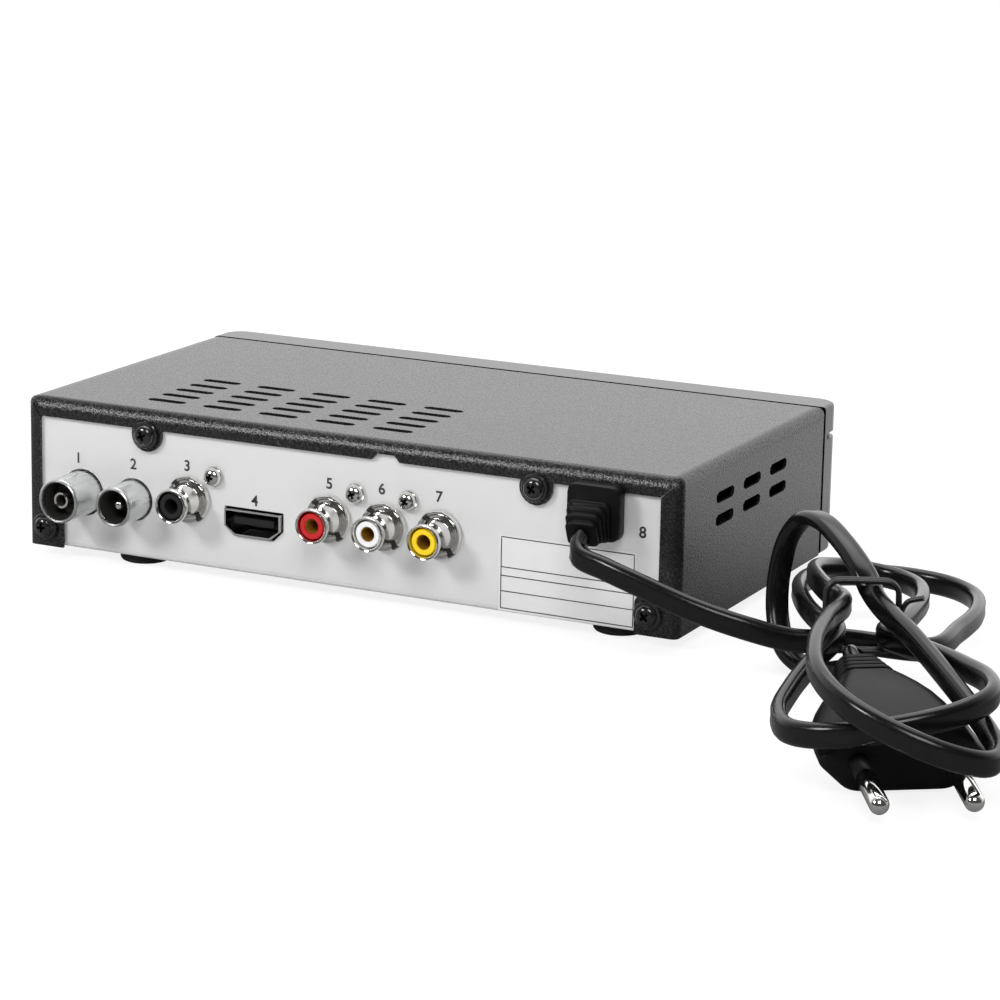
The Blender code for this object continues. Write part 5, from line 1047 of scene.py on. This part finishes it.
def numerals():
    """Small printed numbers by the sockets."""
    for number, x, height in NUMERALS:
        curve = bpy.data.curves.new(f"numeral_{number}", "FONT")
        curve.body = number
        curve.size = NUMERAL_SIZE
        curve.offset = NUMERAL_WEIGHT
        curve.align_x = "CENTER"
        holder = bpy.data.objects.new(f"numeral_{number}", curve)
        bpy.context.scene.collection.objects.link(holder)
        evaluated = holder.evaluated_get(bpy.context.evaluated_depsgraph_get())
        mesh = bpy.data.meshes.new_from_object(evaluated)
        bm = bmesh.new()
        bm.from_mesh(mesh)
        bpy.data.objects.remove(holder, do_unlink=True)
        bpy.data.meshes.remove(mesh)
        place = at(x, height, PANEL_FACE + PRINT_LIFT) @ READ_FROM_BEHIND
        bmesh.ops.transform(bm, matrix=place, verts=bm.verts[:])
        piece(bm, f"numeral_{number}", INK)


def slab(bm, left, right, low, high, y):
    """A flat rectangle on the panel."""
    corners = ((left, low), (right, low), (right, high), (left, high))
    bm.faces.new([bm.verts.new((x, y, UNDERSIDE + z)) for x, z in corners])


def bare_label():
    """The label's place: a pale plate with ruled lines and no words."""
    left, right = LABEL_SIDES
    low, high = LABEL_HEIGHTS
    bm = bmesh.new()
    slab(bm, left, right, low, high, PANEL_FACE + PRINT_LIFT)
    piece(bm, "bare_label", LABEL)
    bm = bmesh.new()
    y = PANEL_FACE + 2 * PRINT_LIFT
    left, right = left - LABEL_INSET, right + LABEL_INSET
    low, high = low + LABEL_INSET, high - LABEL_INSET
    half = RULE_WIDTH / 2
    for z in (low, *LABEL_RULES, high):
        slab(bm, left, right, z - half, z + half, y)
    for x in (left, right):
        slab(bm, x + half, x - half, low, high, y)
    piece(bm, "label_rules", INK)


# Floor: its colour, how bright the camera sees it, and how bright it is in reflections on each side
FLOOR_HALF = 4.0
FLOOR_DROP = 0.0002
FLOOR_COLOUR = (0.90, 0.90, 0.90, 1.0)
FLOOR_ROUGH = 0.9
FLOOR_GLOW = 1.12
FLOOR_GLOW_SHARE = 0.75
REFLECTED_Y = (0.02, -0.12)
REFLECTED_GLOW = (0.03, 1.05)
# Surround: the side that is bright in reflections, and how bright each side is
BRIGHT_SIDE = (0.30, -0.94, 0.16)
BRIGHT_RANGE = (-0.10, 0.75)
SURROUND_LEVELS = (0.07, 1.38)
# Lamps: name, place, size in metres and power in watts
LAMPS = (
    ("key_lamp", (-0.55, 1.05, 1.00), 0.60, 9.0),
    ("fill_lamp", (0.61, 0.95, 0.70), 0.30, 7.4),
    ("top_lamp", (0.15, -0.35, 1.15), 0.90, 5.0),
)
LAMP_AIM = Vector((-0.04, 0.04, 0.02))


def floor_finish():
    """Pale floor that is white to the camera and keeps the shadow."""
    material = bpy.data.materials.new("pale_floor")
    material.use_nodes = True
    tree = material.node_tree
    shader = tree.nodes["Principled BSDF"]
    shader.inputs["Base Color"].default_value = FLOOR_COLOUR
    shader.inputs["Roughness"].default_value = FLOOR_ROUGH
    path = tree.nodes.new("ShaderNodeLightPath")
    spot = tree.nodes.new("ShaderNodeNewGeometry")
    axes = tree.nodes.new("ShaderNodeSeparateXYZ")
    tree.links.new(spot.outputs["Position"], axes.inputs["Vector"])
    reflected = levels(tree, axes.outputs["Y"], REFLECTED_Y, REFLECTED_GLOW)
    level = levels(tree, path.outputs["Is Camera Ray"], (0.0, 1.0), (0.0, FLOOR_GLOW))
    tree.links.new(reflected.outputs["Result"], level.inputs["To Min"])
    glow = tree.nodes.new("ShaderNodeEmission")
    tree.links.new(level.outputs["Result"], glow.inputs["Strength"])
    seen = scalar_math(tree, "MAXIMUM", path.outputs["Is Camera Ray"], path.outputs["Is Glossy Ray"])
    mix = tree.nodes.new("ShaderNodeMixShader")
    tree.links.new(scalar_math(tree, "MULTIPLY", seen, FLOOR_GLOW_SHARE), mix.inputs["Fac"])
    tree.links.new(shader.outputs["BSDF"], mix.inputs[1])
    tree.links.new(glow.outputs["Emission"], mix.inputs[2])
    tree.links.new(mix.outputs["Shader"], tree.nodes["Material Output"].inputs["Surface"])
    return material


def floor():
    """A wide floor just under the feet."""
    mesh = bpy.data.meshes.new("floor")
    corners = [(x * FLOOR_HALF, y * FLOOR_HALF, 0) for x, y in ((-1, -1), (1, -1), (1, 1), (-1, 1))]
    mesh.from_pydata(corners, [], [(0, 1, 2, 3)])
    mesh.materials.append(floor_finish())
    made = bpy.data.objects.new("floor", mesh)
    made.location.z = -FLOOR_DROP
    bpy.context.scene.collection.objects.link(made)


def surround():
    """White surround to the camera, bright from one side for the object."""
    world = bpy.data.worlds.new("white_surround")
    world.use_nodes = True
    tree = world.node_tree
    background = tree.nodes["Background"]
    background.inputs["Color"].default_value = (1.0, 1.0, 1.0, 1.0)
    source = tree.nodes.new("ShaderNodeTexCoord")
    towards = vector_math(tree, "DOT_PRODUCT", source.outputs["Generated"], BRIGHT_SIDE)
    shade = levels(tree, towards, BRIGHT_RANGE, SURROUND_LEVELS)
    path = tree.nodes.new("ShaderNodeLightPath")
    strength = scalar_math(tree, "MAXIMUM", path.outputs["Is Camera Ray"], shade.outputs["Result"])
    tree.links.new(strength, background.inputs["Strength"])
    bpy.context.scene.world = world


def lamps():
    """Soft square lamps aimed at the object."""
    for name, place, size, power in LAMPS:
        data = bpy.data.lights.new(name, "AREA")
        data.size = size
        data.energy = power
        lamp = bpy.data.objects.new(name, data)
        lamp.location = place
        lamp.rotation_euler = (LAMP_AIM - Vector(place)).to_track_quat("-Z", "Y").to_euler()
        bpy.context.scene.collection.objects.link(lamp)


camera()
floor()
surround()
lamps()
dress_frame()
chain = cord_points()
cord_run = stations([point for point, normal in chain], [normal for point, normal in chain], CORD_SPACING)
cord_section = flat_section(CORD_WIDTH, CORD_THICKNESS)
cord = tube("flat_mains_cord", cord_run, cord_section, CORD, ["mains_lead", "cord_hank"])
tie = twist_tie()
plug_pieces = plug()
strain_relief()
phono_sockets()
aerial_sockets()
screws()
feet()
numerals()
bare_label()

bpy.context.scene.view_settings.view_transform = "Standard"
